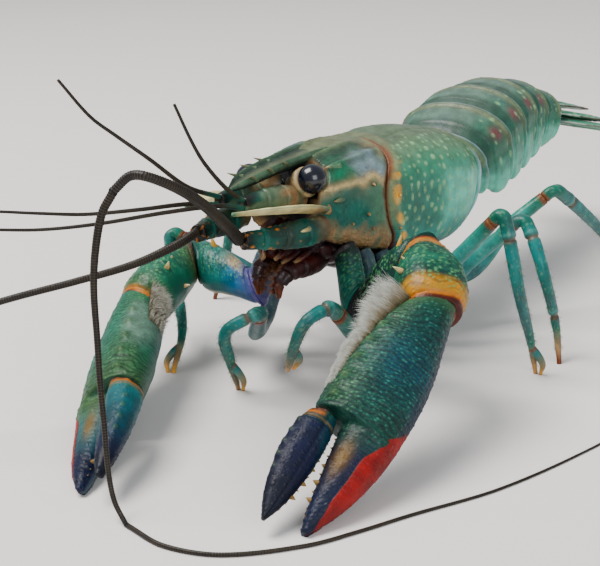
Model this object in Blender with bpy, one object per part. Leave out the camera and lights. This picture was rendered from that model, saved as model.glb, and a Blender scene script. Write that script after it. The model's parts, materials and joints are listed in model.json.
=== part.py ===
"""Red-claw crayfish, an adult male, as the solids of a life-size still model.

The animal faces -Y, its left side is +X, and it stands on the floor at z = 0. Lengths in this
script are millimetres, and the last step of each mesh turns them into metres. The trunk is
worked out along a body axis that is pitched head-up, and limbs follow paths in the room's frame.
"""
import math

import bmesh
import bpy
import numpy as np
from mathutils import Matrix

MM = 0.001
GAP = 0.32

# Trunk: total length 130, carapace 63 with the rostrum, carapace 27 wide and 25 high.
PITCH = math.radians(8.4)
AXIS_HEIGHT = 29.1
ORBIT_Y = -43.0
FACE_Y = -47.2
CARAPACE_REAR = 0.8
POCKET_Y = -5.6
GROOVE_PHI = (0.0, 0.5, 0.9, 1.3, 1.55, 1.8, 2.15, 2.6, 3.1416)
GROOVE_Y = (-24.5, -26.2, -28.2, -30.4, -31.0, -29.8, -26.4, -24.2, -23.4)
TRUNK_Y = (-50.0, -45.5, -40.0, -32.0, -24.0, -19.5, -14.0, -6.0, 1.0, 4.0)
TRUNK_HALF_WIDTH = (7.0, 8.3, 9.6, 11.4, 12.4, 12.6, 13.4, 13.6, 12.4, 11.6)
TRUNK_TOP = (4.2, 5.2, 6.6, 7.9, 8.3, 8.9, 9.7, 9.4, 8.5, 8.2)
TRUNK_BOTTOM = (8.0, 9.6, 11.6, 13.6, 14.8, 15.2, 15.6, 14.8, 11.6, 10.4)
BELLY_HOLLOW = 2.2

ROSTRUM_Y = (-32.6, -40.0, -46.0, -51.0, -56.0, -60.0, -62.9)
ROSTRUM_TOP = (6.9, 6.55, 5.6, 4.7, 3.5, 2.3, 1.2)
ROSTRUM_HALF_WIDTH = (4.2, 3.4, 2.9, 2.7, 2.4, 1.7, 0.35)
ROSTRUM_DEPTH = (3.2, 2.8, 2.3, 2.2, 2.0, 1.5, 0.7)
ROSTRUM_SPINE_Y = (-50.5, -54.5, -58.5)

EYE_CENTRE = (6.3, -46.9, 38.5)
EYE_RIGHT = (-5.3, -49.6, 37.9)
EYE_RADIUS = 2.6
STALK_ROOT = (1.7, -46.1, 36.2)
STALK_RADIUS = 1.55

# Limb joints on the animal's left, the near side, and on its right.
CLAW_LEFT = {
    "ischium": (12.4, -43.6, 14.2), "elbow": (25.6, -41.9, 25.8), "wrist": (34.9, -50.6, 22.6),
    "tip": (37.6, -95.0, 0.6), "out": (0.809, 0.294, -0.509)}
CLAW_RIGHT = {
    "ischium": (-9.0, -44.2, 15.2), "elbow": (-24.7, -43.6, 17.8), "wrist": (-26.0, -57.4, 14.4),
    "tip": (0.6, -103.0, 0.9), "out": (-0.668, -0.146, -0.730)}
MERUS_RADII = (2.6, 3.1, 3.9, 4.4, 3.7)
CARPUS_RADII = (3.9, 5.2, 6.1, 6.0, 4.6)


def smooth(keys, values, at):
    """Shape-preserving cubic through (keys, values), read at the points `at`."""
    x = np.asarray(keys, float)
    y = np.asarray(values, float)
    order = np.argsort(x)
    x, y = x[order], y[order]
    step = np.diff(x)
    slope = np.diff(y) / step[:, None] if y.ndim > 1 else np.diff(y) / step
    inner = np.where(slope[1:] * slope[:-1] > 0,
                     2 * slope[1:] * slope[:-1] / (slope[1:] + slope[:-1] + 1e-12), 0.0)
    tangent = np.concatenate([slope[:1], inner, slope[-1:]])
    at = np.clip(np.asarray(at, float), x[0], x[-1])
    i = np.clip(np.searchsorted(x, at) - 1, 0, len(x) - 2)
    h = step[i]
    s = (at - x[i]) / h
    if y.ndim > 1:
        h, s = h[:, None], s[:, None]
    return ((2 * s**3 - 3 * s**2 + 1) * y[i] + (s**3 - 2 * s**2 + s) * h * tangent[i]
            + (3 * s**2 - 2 * s**3) * y[i + 1] + (s**3 - s**2) * h * tangent[i + 1])


def route(points, count, ease=1.0):
    """`count` points along a smooth curve through `points`, closer at its start if ease > 1."""
    points = np.asarray(points, float)
    chord = np.concatenate([[0], np.cumsum(np.linalg.norm(np.diff(points, axis=0), axis=1))])
    mid = (points[2:] - points[:-2]) / (chord[2:] - chord[:-2])[:, None]
    first = (points[1] - points[0]) / (chord[1] - chord[0])
    last = (points[-1] - points[-2]) / (chord[-1] - chord[-2])
    tangent = np.vstack([first, mid, last])
    at = chord[-1] * np.linspace(0, 1, count) ** ease
    i = np.clip(np.searchsorted(chord, at) - 1, 0, len(chord) - 2)
    h = (chord[i + 1] - chord[i])[:, None]
    s = (at - chord[i])[:, None] / h
    return ((2 * s**3 - 3 * s**2 + 1) * points[i] + (s**3 - 2 * s**2 + s) * h * tangent[i]
            + (3 * s**2 - 2 * s**3) * points[i + 1] + (s**3 - s**2) * h * tangent[i + 1])


def pitched(x, y, g):
    """From the body axis (y along it, g above it) to the room."""
    c, s = math.cos(PITCH), math.sin(PITCH)
    return np.stack([x + 0 * y, y * c + g * s, AXIS_HEIGHT - y * s + g * c], axis=-1)


def new_object(name, verts, faces, colour):
    mesh = bpy.data.meshes.new(name)
    mesh.from_pydata([tuple(v) for v in np.asarray(verts, float) * MM], [], faces)
    bm = bmesh.new()
    bm.from_mesh(mesh)
    bmesh.ops.triangulate(bm, faces=[f for f in bm.faces if len(f.verts) > 3])
    bmesh.ops.recalc_face_normals(bm, faces=bm.faces)
    bm.to_mesh(mesh)
    bm.free()
    obj = bpy.data.objects.new(name, mesh)
    bpy.context.scene.collection.objects.link(obj)
    paint(obj, colour)
    return obj


def paint(obj, colour, roughness=0.4):
    mat = bpy.data.materials.new(obj.name)
    mat.use_nodes = True
    shader = mat.node_tree.nodes["Principled BSDF"]
    shader.inputs["Base Color"].default_value = (*colour, 1.0)
    shader.inputs["Roughness"].default_value = roughness
    shader.inputs["Metallic"].default_value = 0.0
    obj.data.materials.clear()
    obj.data.materials.append(mat)


def skin(rings, tip_first=None, tip_last=None, fan=True):
    """Faces over a stack of closed rings; each end is a fan to a tip, or one face if not fan."""
    rings = np.asarray(rings, float)
    n, m = rings.shape[:2]
    first = rings[0].mean(axis=0) if tip_first is None else tip_first
    last = rings[-1].mean(axis=0) if tip_last is None else tip_last
    verts = np.vstack([rings.reshape(-1, 3), [first], [last]])
    faces = []
    for i in range(n - 1):
        for j in range(m):
            a, b = i * m + j, i * m + (j + 1) % m
            c, d = b + m, a + m
            faces += [(a, b, c), (a, c, d)]
    if not fan:
        return verts[:-2], faces + [tuple(range(m))[::-1], tuple(range((n - 1) * m, n * m))]
    for j in range(m):
        k = (j + 1) % m
        faces.append((n * m, k, j))
        faces.append((n * m + 1, (n - 1) * m + j, (n - 1) * m + k))
    return verts, faces


def tube_rings(path, half_width, half_depth, across, sides, power=2.0, turn=0.0):
    """Superellipse rings square to a path; `across` points along the half-width."""
    path = np.asarray(path, float)
    tangent = np.gradient(path, axis=0)
    tangent /= np.linalg.norm(tangent, axis=1)[:, None]
    across = np.broadcast_to(np.asarray(across, float), path.shape)
    wide = across - tangent * (across * tangent).sum(axis=1)[:, None]
    wide /= np.linalg.norm(wide, axis=1)[:, None]
    deep = np.cross(tangent, wide)
    angle = np.arange(sides) * 2 * math.pi / sides + turn
    c, s = np.cos(angle), np.sin(angle)
    c = np.sign(c) * np.abs(c) ** (2 / power)
    s = np.sign(s) * np.abs(s) ** (2 / power)
    hw = np.broadcast_to(np.asarray(half_width, float), len(path))
    hd = np.broadcast_to(np.asarray(half_depth, float), len(path))
    return (path[:, None, :] + wide[:, None, :] * (hw[:, None] * c)[:, :, None]
            + deep[:, None, :] * (hd[:, None] * s)[:, :, None])


def mitre(rings, first=None, last=None, power=2):
    """Slide a limb's points along it so that an end lies in a joint's plane (point, normal)."""
    rings = np.array(rings)
    t = np.linspace(0, 1, len(rings))
    for plane, end, way, fade in ((first, 0, rings[1] - rings[0], (1 - t) ** power),
                                  (last, -1, rings[-1] - rings[-2], t ** power)):
        if plane is None:
            continue
        point, normal = plane
        way = unit(way.mean(axis=0))
        slide = ((point - rings[end]) @ normal) / (way @ normal)
        rings += fade[:, None, None] * slide[None, :, None] * way
    return rings


def limb(points, widths, depths, across, count, sides, power=2.2, first=None, last=None, ease=1.0):
    """A closed limb through `points` whose half-sizes are read along its length."""
    path = route(points, count, ease)
    t = np.linspace(0, 1, count) ** ease
    hw = smooth(np.linspace(0, 1, len(widths)), widths, t)
    hd = smooth(np.linspace(0, 1, len(depths)), depths, t)
    return skin(mitre(tube_rings(path, hw, hd, across, sides, power), first, last))


def spine(root, tip, radius, sides=5):
    """A thorn: rings narrow from `root`, sunk in what carries it, to a fine tip."""
    root, tip = np.asarray(root, float), np.asarray(tip, float)
    path = np.array([root, root + (tip - root) * 0.55])
    across = (0, 0, 1) if abs((tip - root)[2]) < 0.8 * np.linalg.norm(tip - root) else (1, 0, 0)
    rings = tube_rings(path, (radius, radius * 0.6), (radius, radius * 0.6), across, sides)
    return skin(rings, root, tip)


def fuse(name, shapes, colour, solver="MANIFOLD"):
    """One Boolean union of a node's pieces, of which the largest closed surface is kept."""
    base = new_object(name, *shapes[0], colour)
    others = bpy.data.collections.new(name + "_pieces")
    bpy.context.scene.collection.children.link(others)
    for k, (verts, faces) in enumerate(shapes[1:]):
        piece = new_object(f"{name}_piece_{k}", verts, faces, colour)
        bpy.context.scene.collection.objects.unlink(piece)
        others.objects.link(piece)
    if len(shapes) > 1:
        union = base.modifiers.new("union", "BOOLEAN")
        union.operation = "UNION"
        union.operand_type = "COLLECTION"
        union.collection = others
        union.solver = solver
        settled = base.evaluated_get(bpy.context.evaluated_depsgraph_get())
        mesh = bpy.data.meshes.new_from_object(settled)
        base.modifiers.clear()
        base.data = mesh
        paint(base, colour)
    for piece in list(others.objects):
        bpy.data.objects.remove(piece)
    bpy.data.collections.remove(others)
    keep_largest(base)
    return base


def keep_largest(obj):
    bm = bmesh.new()
    bm.from_mesh(obj.data)
    bmesh.ops.triangulate(bm, faces=bm.faces)
    left = set(bm.faces)
    groups = []
    while left:
        seed = left.pop()
        group, queue = [seed], [seed]
        while queue:
            face = queue.pop()
            for edge in face.edges:
                for other in edge.link_faces:
                    if other in left:
                        left.remove(other)
                        group.append(other)
                        queue.append(other)
        groups.append(group)
    groups.sort(key=lambda g: -sum(f.calc_area() for f in g))
    bmesh.ops.delete(bm, geom=[f for g in groups[1:] for f in g], context="FACES")
    bmesh.ops.delete(bm, geom=[v for v in bm.verts if not v.link_faces], context="VERTS")
    bmesh.ops.recalc_face_normals(bm, faces=bm.faces)
    bm.to_mesh(obj.data)
    bm.free()


def trunk(y, phi, inset=0.0):
    """The carapace surface: phi runs from the back's midline round to the belly's."""
    w = smooth(TRUNK_Y, TRUNK_HALF_WIDTH, y) - inset
    top = smooth(TRUNK_Y, TRUNK_TOP, y) - inset
    low = smooth(TRUNK_Y, TRUNK_BOTTOM, y) - inset
    c, s = np.cos(phi), np.sin(phi)
    upper = c > 0
    power = np.where(upper, 2 / 2.15, 2 / 3.0)
    x = w * np.sign(s) * np.abs(s) ** power
    g = np.where(upper, top, low) * np.sign(c) * np.abs(c) ** power
    g = g + np.where(upper, 0.0, BELLY_HOLLOW * (1 - (x / w) ** 2) ** 2)
    return pitched(x, y, g)


def groove(phi):
    """Where the neck groove crosses the shell: forward down the cheeks, then back below them."""
    return smooth(GROOVE_PHI, GROOVE_Y, np.arccos(np.cos(phi)))


def rear_edge(phi):
    """The hind rim of the carapace bows back over the flanks."""
    return CARAPACE_REAR + 2.6 * np.sin(phi) ** 2 - 5.4 * np.clip(-np.cos(phi), 0, 1) ** 1.5


def face_edge(phi):
    """The front rim: notched back at the eye, and further forward along the cheek."""
    low = np.clip((np.arccos(np.cos(phi)) - 1.55) / 0.5, 0, 1)
    return ORBIT_Y + (FACE_Y - ORBIT_Y) * low * low * (3 - 2 * low)


def shell_rings(start, stop, count, sides, ease=1.0):
    phi = np.arange(sides) * 2 * math.pi / sides
    rings = []
    for t in np.linspace(0, 1, count) ** ease:
        y = start(phi) * (1 - t) + stop(phi) * t
        rings.append(trunk(y, phi))
    return rings


def close_dome(rings, push, shrink):
    """One more ring, smaller and pushed on, that rounds an end."""
    last = np.asarray(rings[-1])
    centre = last.mean(axis=0)
    return rings + [centre + (last - centre) * shrink + np.asarray(push, float)]


OLIVE = (0.10, 0.16, 0.10)
TEAL = (0.06, 0.26, 0.20)
MINT = (0.16, 0.45, 0.34)
NAVY = (0.02, 0.05, 0.10)
TURQUOISE = (0.08, 0.36, 0.38)
BROWN = (0.09, 0.07, 0.05)
IVORY = (0.62, 0.56, 0.40)
DARK = (0.02, 0.02, 0.03)


def make_thorax():
    front = lambda phi: groove(phi) + GAP / 2
    rings = shell_rings(front, rear_edge, 11, 28)
    # The hind rim is a thick lip round a pocket that takes the first abdomen ring.
    lip = close_dome(rings, (0, 0, 0), 0.91)[-1]
    floor = lip.copy()
    floor[:, 1] = POCKET_Y
    return fuse("thorax", [skin(rings + [lip, floor])], MINT)


def rostrum_shape():
    rings = []
    ys = np.array([-32.6, -37.7, -43.0, -47.5, -52.0, -56.5, -60.5, -62.9])
    top = smooth(ROSTRUM_Y, ROSTRUM_TOP, ys)
    half = smooth(ROSTRUM_Y, ROSTRUM_HALF_WIDTH, ys)
    deep = smooth(ROSTRUM_Y, ROSTRUM_DEPTH, ys)
    keel = np.minimum(0.55, half * 0.4)
    for y, t, w, d, k in zip(ys, top, half, deep, keel):
        x = np.array([0, 0.62, 0.84, 1.0, 0.62, 0, -0.62, -1.0, -0.84, -0.62]) * w
        g = t + np.array([-k * 0.4, -k * 0.3, k, -k * 0.4, -d * 0.75, -d, -d * 0.75,
                          -k * 0.4, k, -k * 0.3])
        rings.append(pitched(x, np.full(10, y), g))
    return skin(rings)


def make_head():
    back = lambda phi: groove(phi) - GAP / 2
    rings = shell_rings(back, face_edge, 9, 28)
    rings = close_dome(rings, (0, 0.0, 0), 0.9)
    flat = rings[-1] + (rings[-1].mean(axis=0) - rings[-1]) * 0.25
    flat[:, 1] = np.where(flat[:, 2] > flat[:, 2].mean(), ORBIT_Y - 0.6, flat[:, 1])
    rings.append(flat)
    shapes = [skin(rings), rostrum_shape()]
    # Epistome and jaws below the face.
    jaws = route([(0, -42.0, 27.4), (0, -47.5, 27.6), (0, -50.6, 28.2)], 5)
    shapes.append(skin(tube_rings(jaws, (5.4, 6.6, 6.0, 4.6, 2.4), (3.4, 4.0, 3.6, 2.6, 1.4),
                                  (1, 0, 0), 12)))
    for side in (1, -1):
        for y in ROSTRUM_SPINE_Y:
            w = float(smooth(ROSTRUM_Y, ROSTRUM_HALF_WIDTH, [y])[0])
            top = float(smooth(ROSTRUM_Y, ROSTRUM_TOP, [y])[0])
            root = pitched(np.array(side * w * 0.72), np.array(y + 1.0), np.array(top - 0.2))
            tip = pitched(np.array(side * (w + 0.75)), np.array(y - 2.2), np.array(top + 0.75))
            shapes.append(spine(root, tip, 0.62))
        # Ridge behind the eye that ends in a spine.
        ridge = []
        for y, lift, lean in ((-28.5, -0.9, 0.66), (-33.0, -0.35, 0.70), (-38.0, 0.0, 0.76),
                              (-42.5, 0.3, 0.82)):
            at = trunk(np.array([y]), np.array([side * lean]), -lift)[0]
            ridge.append(at)
        tip = ridge[-1] + np.array([0.1 * side, -2.6, 0.5])
        rings = tube_rings(route(ridge, 6), (0.5, 0.8, 0.9, 0.9, 0.85, 0.7),
                           (0.5, 0.7, 0.8, 0.8, 0.75, 0.6), (1, 0, 0), 6)
        shapes.append(skin(rings, None, tip))
        # Cheek spine under the eye.
        root = trunk(np.array([-41.5]), np.array([side * 1.62]), 0.9)[0]
        shapes.append(spine(root, root + np.array([0.6 * side, -5.6, 1.0]), 1.0, 6))
        # Two small thorns behind the neck groove's side.
        for y, lean in ((-34.5, 1.45), (-35.2, 1.78)):
            root = trunk(np.array([y]), np.array([side * lean]), 0.6)[0]
            shapes.append(spine(root, root + np.array([1.5 * side, -1.4, 0.2]), 0.55))
    return fuse("head", shapes, OLIVE)


def ball(centre, radius, rows=8, sides=14):
    lat = np.linspace(0, math.pi, rows + 1)[1:-1]
    lon = np.arange(sides) * 2 * math.pi / sides
    centre = np.asarray(centre, float)
    rings = [centre + radius * np.stack([np.sin(a) * np.cos(lon), np.sin(a) * np.sin(lon),
                                         np.full(sides, np.cos(a))], axis=-1) for a in lat]
    return skin(rings, centre + (0, 0, radius), centre - (0, 0, radius))


def make_eyes():
    for side, word, centre in ((1, "left", EYE_CENTRE), (-1, "right", EYE_RIGHT)):
        centre = np.array(centre)
        root = np.array(STALK_ROOT) * (side, 1, 1)
        fuse(f"eye_{word}", [ball(centre, EYE_RADIUS)], DARK)
        way = (centre - root) / np.linalg.norm(centre - root)
        end = centre - way * (EYE_RADIUS + GAP)
        rings = tube_rings(np.array([root, (root + end) / 2, end]), STALK_RADIUS, STALK_RADIUS,
                           (0, 0, 1), 10)
        fuse(f"eyestalk_{word}", [skin(rings)], OLIVE)


def make_feeler_bases():
    for side, word in ((1, "left"), (-1, "right")):
        flip = np.array([side, 1, 1])
        scale = [(9.0, -47.2, 33.35), (8.6, -54.0, 35.1), (6.9, -61.0, 36.2), (5.0, -67.4, 37.0)]
        verts, faces = limb(np.array(scale) * flip, (1.2, 2.0, 1.8, 0.5), (0.65, 0.55, 0.45, 0.3),
                            (-side * 0.9, -0.2, -0.35), 7, 8, 2.0)
        fuse(f"scale_{word}", [(verts, faces)], IVORY)
        base = [(9.0, -48.1, 30.4), (8.2, -54.0, 30.6), (6.6, -60.0, 31.2), (4.9, -65.0, 31.8)]
        fuse(f"antenna_base_{word}", [limb(np.array(base) * flip, (2.2, 2.4, 1.9, 1.5),
                                           (2.2, 2.3, 1.8, 1.4), (0, 0, 1), 9, 10)], OLIVE)
        stem = [(2.5, -46.4, 33.4), (2.7, -52.0, 34.3), (2.7, -57.0, 35.6), (2.6, -61.6, 37.0)]
        fuse(f"antennule_base_{word}", [limb(np.array(stem) * flip, (1.4, 1.5, 1.3),
                                             (1.4, 1.4, 1.2), (0, 0, 1), 6, 8)], OLIVE)


def whip(name, points, thick, count, sides, colour):
    """A feeler: a tapering tube through `points`, thickness read along its length."""
    path = route(points, count)
    r = smooth(np.linspace(0, 1, len(thick)), thick, np.linspace(0, 1, count)) / 2
    path[:, 2] = np.maximum(path[:, 2], r)
    tangent_up = np.array((0.31, -0.2, 0.93))
    rings = tube_rings(path, r, r, tangent_up, sides)
    return fuse(name, [skin(rings)], colour)


ANTENNA_LEFT = (
    ((4.6, -66.0, 32.4), (7.2, -72.5, 37.0), (9.6, -80.0, 42.2), (10.6, -87.0, 46.6),
     (8.6, -91.4, 49.2), (5.6, -91.8, 49.0), (3.4, -93.2, 46.8)),
    ((3.3, -93.4, 46.4), (2.4, -95.0, 43.6), (2.2, -96.8, 38.3), (2.9, -98.5, 33.1),
     (4.4, -100.2, 26.2), (5.8, -101.8, 19.8), (7.3, -103.2, 13.6), (8.6, -104.5, 7.6),
     (10.4, -105.6, 3.2), (13.4, -106.5, 0.3)),
    ((14.1, -106.7, 0.0), (22.4, -108.4, 0.0), (31.0, -106.0, 0.0), (39.5, -97.6, 0.0),
     (43.6, -90.0, 0.0), (47.2, -82.0, 0.0), (54.3, -67.4, 0.0), (59.9, -46.9, 0.0),
     (61.6, -34.0, 0.0)),
)
ANTENNA_LEFT_THICK = ((2.3, 1.75, 1.45), (1.4, 1.05, 0.9), (0.9, 0.65, 0.5))
ANTENNA_RIGHT = (
    ((-4.6, -65.7, 32.2), (-5.4, -70.2, 31.0), (-8.9, -77.0, 29.0), (-14.6, -85.0, 27.4),
     (-20.6, -91.6, 25.9), (-26.4, -97.4, 24.2)),
    ((-26.7, -97.7, 24.1), (-34.0, -104.0, 21.4), (-43.0, -110.0, 17.4), (-53.0, -114.0, 12.4),
     (-64.0, -115.6, 7.2), (-75.0, -114.6, 3.0), (-84.0, -112.4, 0.6), (-93.0, -109.0, 0.0),
     (-102.0, -105.0, 0.0)),
)
ANTENNA_RIGHT_THICK = ((1.7, 1.3, 1.2), (1.15, 0.85, 0.5))
ANTENNULES = {
    "antennule_left_upper": ((2.6, -61.75, 37.72), (4.8, -69.0, 42.0), (4.4, -73.3, 46.9),
                             (3.5, -75.0, 50.7), (1.9, -76.5, 56.4)),
    "antennule_left_lower": ((2.7, -62.1, 36.45), (3.2, -69.0, 38.6), (-0.6, -77.5, 39.1),
                             (-6.2, -87.1, 38.9), (-12.0, -94.0, 38.9), (-17.0, -101.0, 40.0)),
    "antennule_right_upper": ((-2.6, -61.75, 37.72), (-2.0, -70.5, 41.6), (-2.8, -78.2, 47.8),
                              (-6.2, -81.7, 51.9), (-8.5, -84.7, 55.3), (-10.4, -88.8, 61.4)),
    "antennule_right_lower": ((-2.7, -62.1, 36.45), (-3.8, -69.0, 38.0), (-7.0, -77.0, 38.6),
                              (-12.0, -84.0, 38.9), (-16.0, -90.0, 40.0), (-20.0, -94.6, 40.9)),
}


def make_feelers():
    for k, (points, thick) in enumerate(zip(ANTENNA_LEFT, ANTENNA_LEFT_THICK)):
        whip(f"antenna_left_{k + 1}", points, thick, (16, 18, 22)[k], 6, BROWN)
    for k, (points, thick) in enumerate(zip(ANTENNA_RIGHT, ANTENNA_RIGHT_THICK)):
        whip(f"antenna_right_{k + 1}", points, thick, (12, 18)[k], 6, BROWN)
    for name, points in ANTENNULES.items():
        whip(name, points, (0.9, 0.7, 0.5), 12, 5, BROWN)


def make_maxillipeds():
    for side, word in ((1, "left"), (-1, "right")):
        path = [(2.9, -40.6, 21.6), (3.3, -45.6, 21.8), (3.2, -49.8, 21.9), (2.5, -52.4, 20.2),
                (2.2, -52.6, 17.8)]
        shape = limb(np.array(path) * (side, 1, 1), (1.8, 2.3, 2.0, 1.3, 0.5),
                     (1.6, 1.9, 1.7, 1.1, 0.4), (1, 0, 0), 11, 8)
        fuse(f"maxilliped_{word}", [shape], BROWN)


def unit(v):
    v = np.asarray(v, float)
    return v / np.linalg.norm(v)


def joint_plane(before, joint, after, side):
    """The plane that halves a bend, moved half a gap to the `side` (-1 before it, 1 after)."""
    normal = unit(unit(joint - before) + unit(after - joint))
    return joint + normal * side * GAP / 2, normal


def palm_frame(claw):
    wrist, tip = np.array(claw["wrist"]), np.array(claw["tip"])
    length = np.linalg.norm(tip - wrist)
    along = (tip - wrist) / length
    out = np.array(claw["out"])
    out = unit(out - along * (out @ along))
    up = unit(np.cross(along, out))
    if up[2] < 0:
        up = -up
    return wrist, along, out, up, length


WRIST_S = 4.0
HAND_S = (0.0, 3.5, 8.0, 15.0, 22.0, 30.2, 31.0, 35.0, 40.0, 45.0, 48.9)
HAND_OUTER = (2.4, 2.7, 3.6, 5.2, 6.0, 5.8, 5.7, 5.1, 4.0, 2.4, 0.3)
HAND_INNER = (-4.2, -5.4, -6.7, -8.0, -8.7, -8.5, -3.9, -3.0, -2.4, -1.7, -0.6)
HAND_THICK = (3.8, 4.2, 4.6, 5.0, 5.0, 4.3, 4.1, 3.2, 2.6, 1.9, 0.8)
HAND_RINGS = (WRIST_S, 6, 8.5, 11.5, 15, 19, 23, 27, 30.2, 31, 33, 36, 39, 42, 45, 47.5, 48.9)
FINGER_S = (31.45, 34.0, 38.5, 43.0, 47.0, 50.4)
FINGER_OUTER = (-4.4, -3.9, -3.7, -4.0, -4.7, -5.8)
FINGER_INNER = (-8.6, -9.8, -9.9, -9.2, -8.1, -6.6)
FINGER_THICK = (3.0, 3.0, 2.7, 2.2, 1.6, 0.7)
FINGER_RINGS = (31.45, 32.4, 34.5, 37.5, 40.5, 43.5, 46.5, 49.0, 50.4)


def slab(frame, s, low, high, thick, at, sides, power):
    """A flattened limb in a palm's own frame, between an inner and an outer edge."""
    wrist, along, out, up, length = frame
    at = np.array(at, float)
    a, b = smooth(s, low, at), smooth(s, high, at)
    k = smooth(s, thick, at)
    at = at * length / HAND_S[-1]
    centre = wrist + along * at[:, None] + out * ((a + b) / 2)[:, None]
    angle = np.arange(sides) * 2 * math.pi / sides
    c = np.sign(np.cos(angle)) * np.abs(np.cos(angle)) ** (2 / power)
    q = np.sign(np.sin(angle)) * np.abs(np.sin(angle)) ** (2 / power)
    rings = (centre[:, None, :] + out * (((b - a) / 2)[:, None] * c)[:, :, None]
             + up * (k[:, None] * q)[:, :, None])
    return rings


PALM_TEETH = ((38.0, 0.5), (41.0, 0.8), (44.0, 0.8))
FINGER_TEETH = ((39.6, 0.5), (42.4, 0.7), (45.2, 0.8))
KNOB_S = (9.0, 12.5, 16.0, 19.5, 23.0, 26.5)
LOCK_ROWS = {"left": (27.0, ((0.15, 9, 5.0), (0.5, 9, 4.6), (-0.25, 8, 4.0))),
             "right": (15.0, ((0.1, 4, 3.4), (-0.25, 4, 3.0)))}


def on_hand(frame, s, t, lift):
    """A point of the palm's own frame: s along the hand, t outwards, and lift above it."""
    wrist, along, out, up, length = frame
    return wrist + along * s * length / HAND_S[-1] + out * t + up * lift


def teeth(frame, rows, keys, edge, way):
    """Blunt teeth on a finger's cutting edge; `way` is the side to which they point."""
    shapes = []
    for s, height in rows:
        t = float(smooth(keys, edge, [s])[0])
        root = on_hand(frame, s, t - way * 0.7, 0.1)
        shapes.append(spine(root, on_hand(frame, s, t + way * height, 0.1), 0.75, 6))
    return shapes


def edge_knobs(frame):
    """Low knobs along the upper inner margin of the palm."""
    shapes = []
    for s in KNOB_S:
        t = float(smooth(HAND_S, HAND_INNER, [s])[0])
        thick = float(smooth(HAND_S, HAND_THICK, [s])[0])
        shapes.append(spine(on_hand(frame, s, t * 0.72, thick * 0.55),
                            on_hand(frame, s + 0.4, t * 0.94, thick * 0.98), 0.8, 5))
    return shapes


def bristle_locks(frame, word):
    """The mat of bristles on the palm's inner edge, longest by the wrist, as pointed locks. The
    photo shows it all along the left palm and only by the wrist on the right one."""
    draw = np.random.default_rng(7 if word == "left" else 11)
    shapes = []
    last, rows = LOCK_ROWS[word]
    for height, count, length in rows:
        for k in range(count):
            s = 7.5 + (last - 8.5) * (k + 0.3 + 0.4 * draw.random()) / count
            t = float(smooth(HAND_S, HAND_INNER, [s])[0])
            thick = float(smooth(HAND_S, HAND_THICK, [s])[0])
            reach = length * (1 - 0.55 * s / 27) * (0.85 + 0.3 * draw.random())
            across = math.sqrt(1 - height * height)
            root = on_hand(frame, s, t * across + 0.9, thick * height)
            tip = on_hand(frame, s + 0.45 * reach, t * across - reach * 0.92,
                          thick * height + reach * (height * 0.55 + 0.1 * draw.random()))
            shapes.append(spine(root, tip, 0.72, 4))
    return shapes


def merus_spines(ischium, elbow, frame):
    """Two thorns on the upper end of the arm."""
    way = unit(elbow - ischium)
    shapes = []
    for side in (1, -1):
        root = elbow - way * 4.2 + np.array([0, 0, 2.6]) + frame[2] * side * 1.6
        shapes.append(spine(root, root + np.array([0, 0, 2.6]) + way * 0.8, 0.8, 5))
    return shapes


def carpus_spines(elbow, wrist, frame):
    """A strong spine and two knobs on the inner face of the wrist."""
    way = unit(wrist - elbow)
    middle = (elbow + wrist) / 2
    inner = -frame[2]
    shapes = []
    for slide, turn, long in ((2.4, 0.35, 2.8), (-0.6, 0.5, 1.6), (3.0, -0.5, 1.6)):
        out = unit(inner * math.cos(turn) + frame[3] * math.sin(turn))
        root = middle + way * slide + out * 4.2
        shapes.append(spine(root, root + out * (1.2 + long) + frame[1] * long * 0.5, 1.0, 6))
    return shapes


def make_claw(claw, word):
    side = 1 if word == "left" else -1
    ischium, elbow, wrist = (np.array(claw[k]) for k in ("ischium", "elbow", "wrist"))
    root, away = hip(LEG_ROOT_Y[1], side)
    frame = palm_frame(claw)
    wrist = wrist + frame[1] * WRIST_S * frame[4] / HAND_S[-1]
    knuckle = wrist + frame[1] * 10 + frame[2] * 6
    shape = limb([root, root + away * 1.5, (root + away * 2 + ischium) / 2, ischium],
                 (2.2, 2.5, 2.6), (2.1, 2.3, 2.4), (0, 0.3, 1), 6, 10,
                 last=joint_plane(root + away, ischium, elbow, -1))
    fuse(f"claw_{word}_ischium", [shape], TURQUOISE)
    shape = limb([ischium, (ischium + elbow) / 2 + (0, 0, 0.4), elbow], MERUS_RADII,
                 np.array(MERUS_RADII) * 0.85, (0, 0.3, 1), 9, 12,
                 first=joint_plane(root + away, ischium, elbow, 1),
                 last=joint_plane(ischium, elbow, wrist, -1))
    fuse(f"claw_{word}_merus", [shape] + merus_spines(ischium, elbow, frame), TURQUOISE)
    shape = limb([elbow, (elbow + wrist) / 2 + frame[3] * 0.9, wrist], CARPUS_RADII,
                 np.array(CARPUS_RADII) * 0.86, frame[2], 9, 12,
                 first=joint_plane(ischium, elbow, wrist, 1),
                 last=joint_plane(elbow, wrist, knuckle, -1))
    fuse(f"claw_{word}_carpus", [shape] + carpus_spines(elbow, wrist, frame), TEAL)
    hand = slab(frame, HAND_S, HAND_INNER, HAND_OUTER, HAND_THICK, HAND_RINGS, 16, 2.1)
    hand = mitre(hand, first=joint_plane(elbow, wrist, knuckle, 1), power=5)
    shapes = [skin(hand)] + teeth(frame, PALM_TEETH, HAND_S, HAND_INNER, -1)
    shapes += edge_knobs(frame) + bristle_locks(frame, word)
    fuse(f"claw_{word}_palm", shapes, TEAL)
    finger = slab(frame, FINGER_S, FINGER_INNER, FINGER_OUTER, FINGER_THICK, FINGER_RINGS, 12, 2.1)
    shapes = [skin(finger)] + teeth(frame, FINGER_TEETH, FINGER_S, FINGER_OUTER, 1)
    fuse(f"claw_{word}_finger", shapes, NAVY)
    plant(f"claw_{word}_palm", 0.3)
    plant(f"claw_{word}_finger", 0.3)


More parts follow.
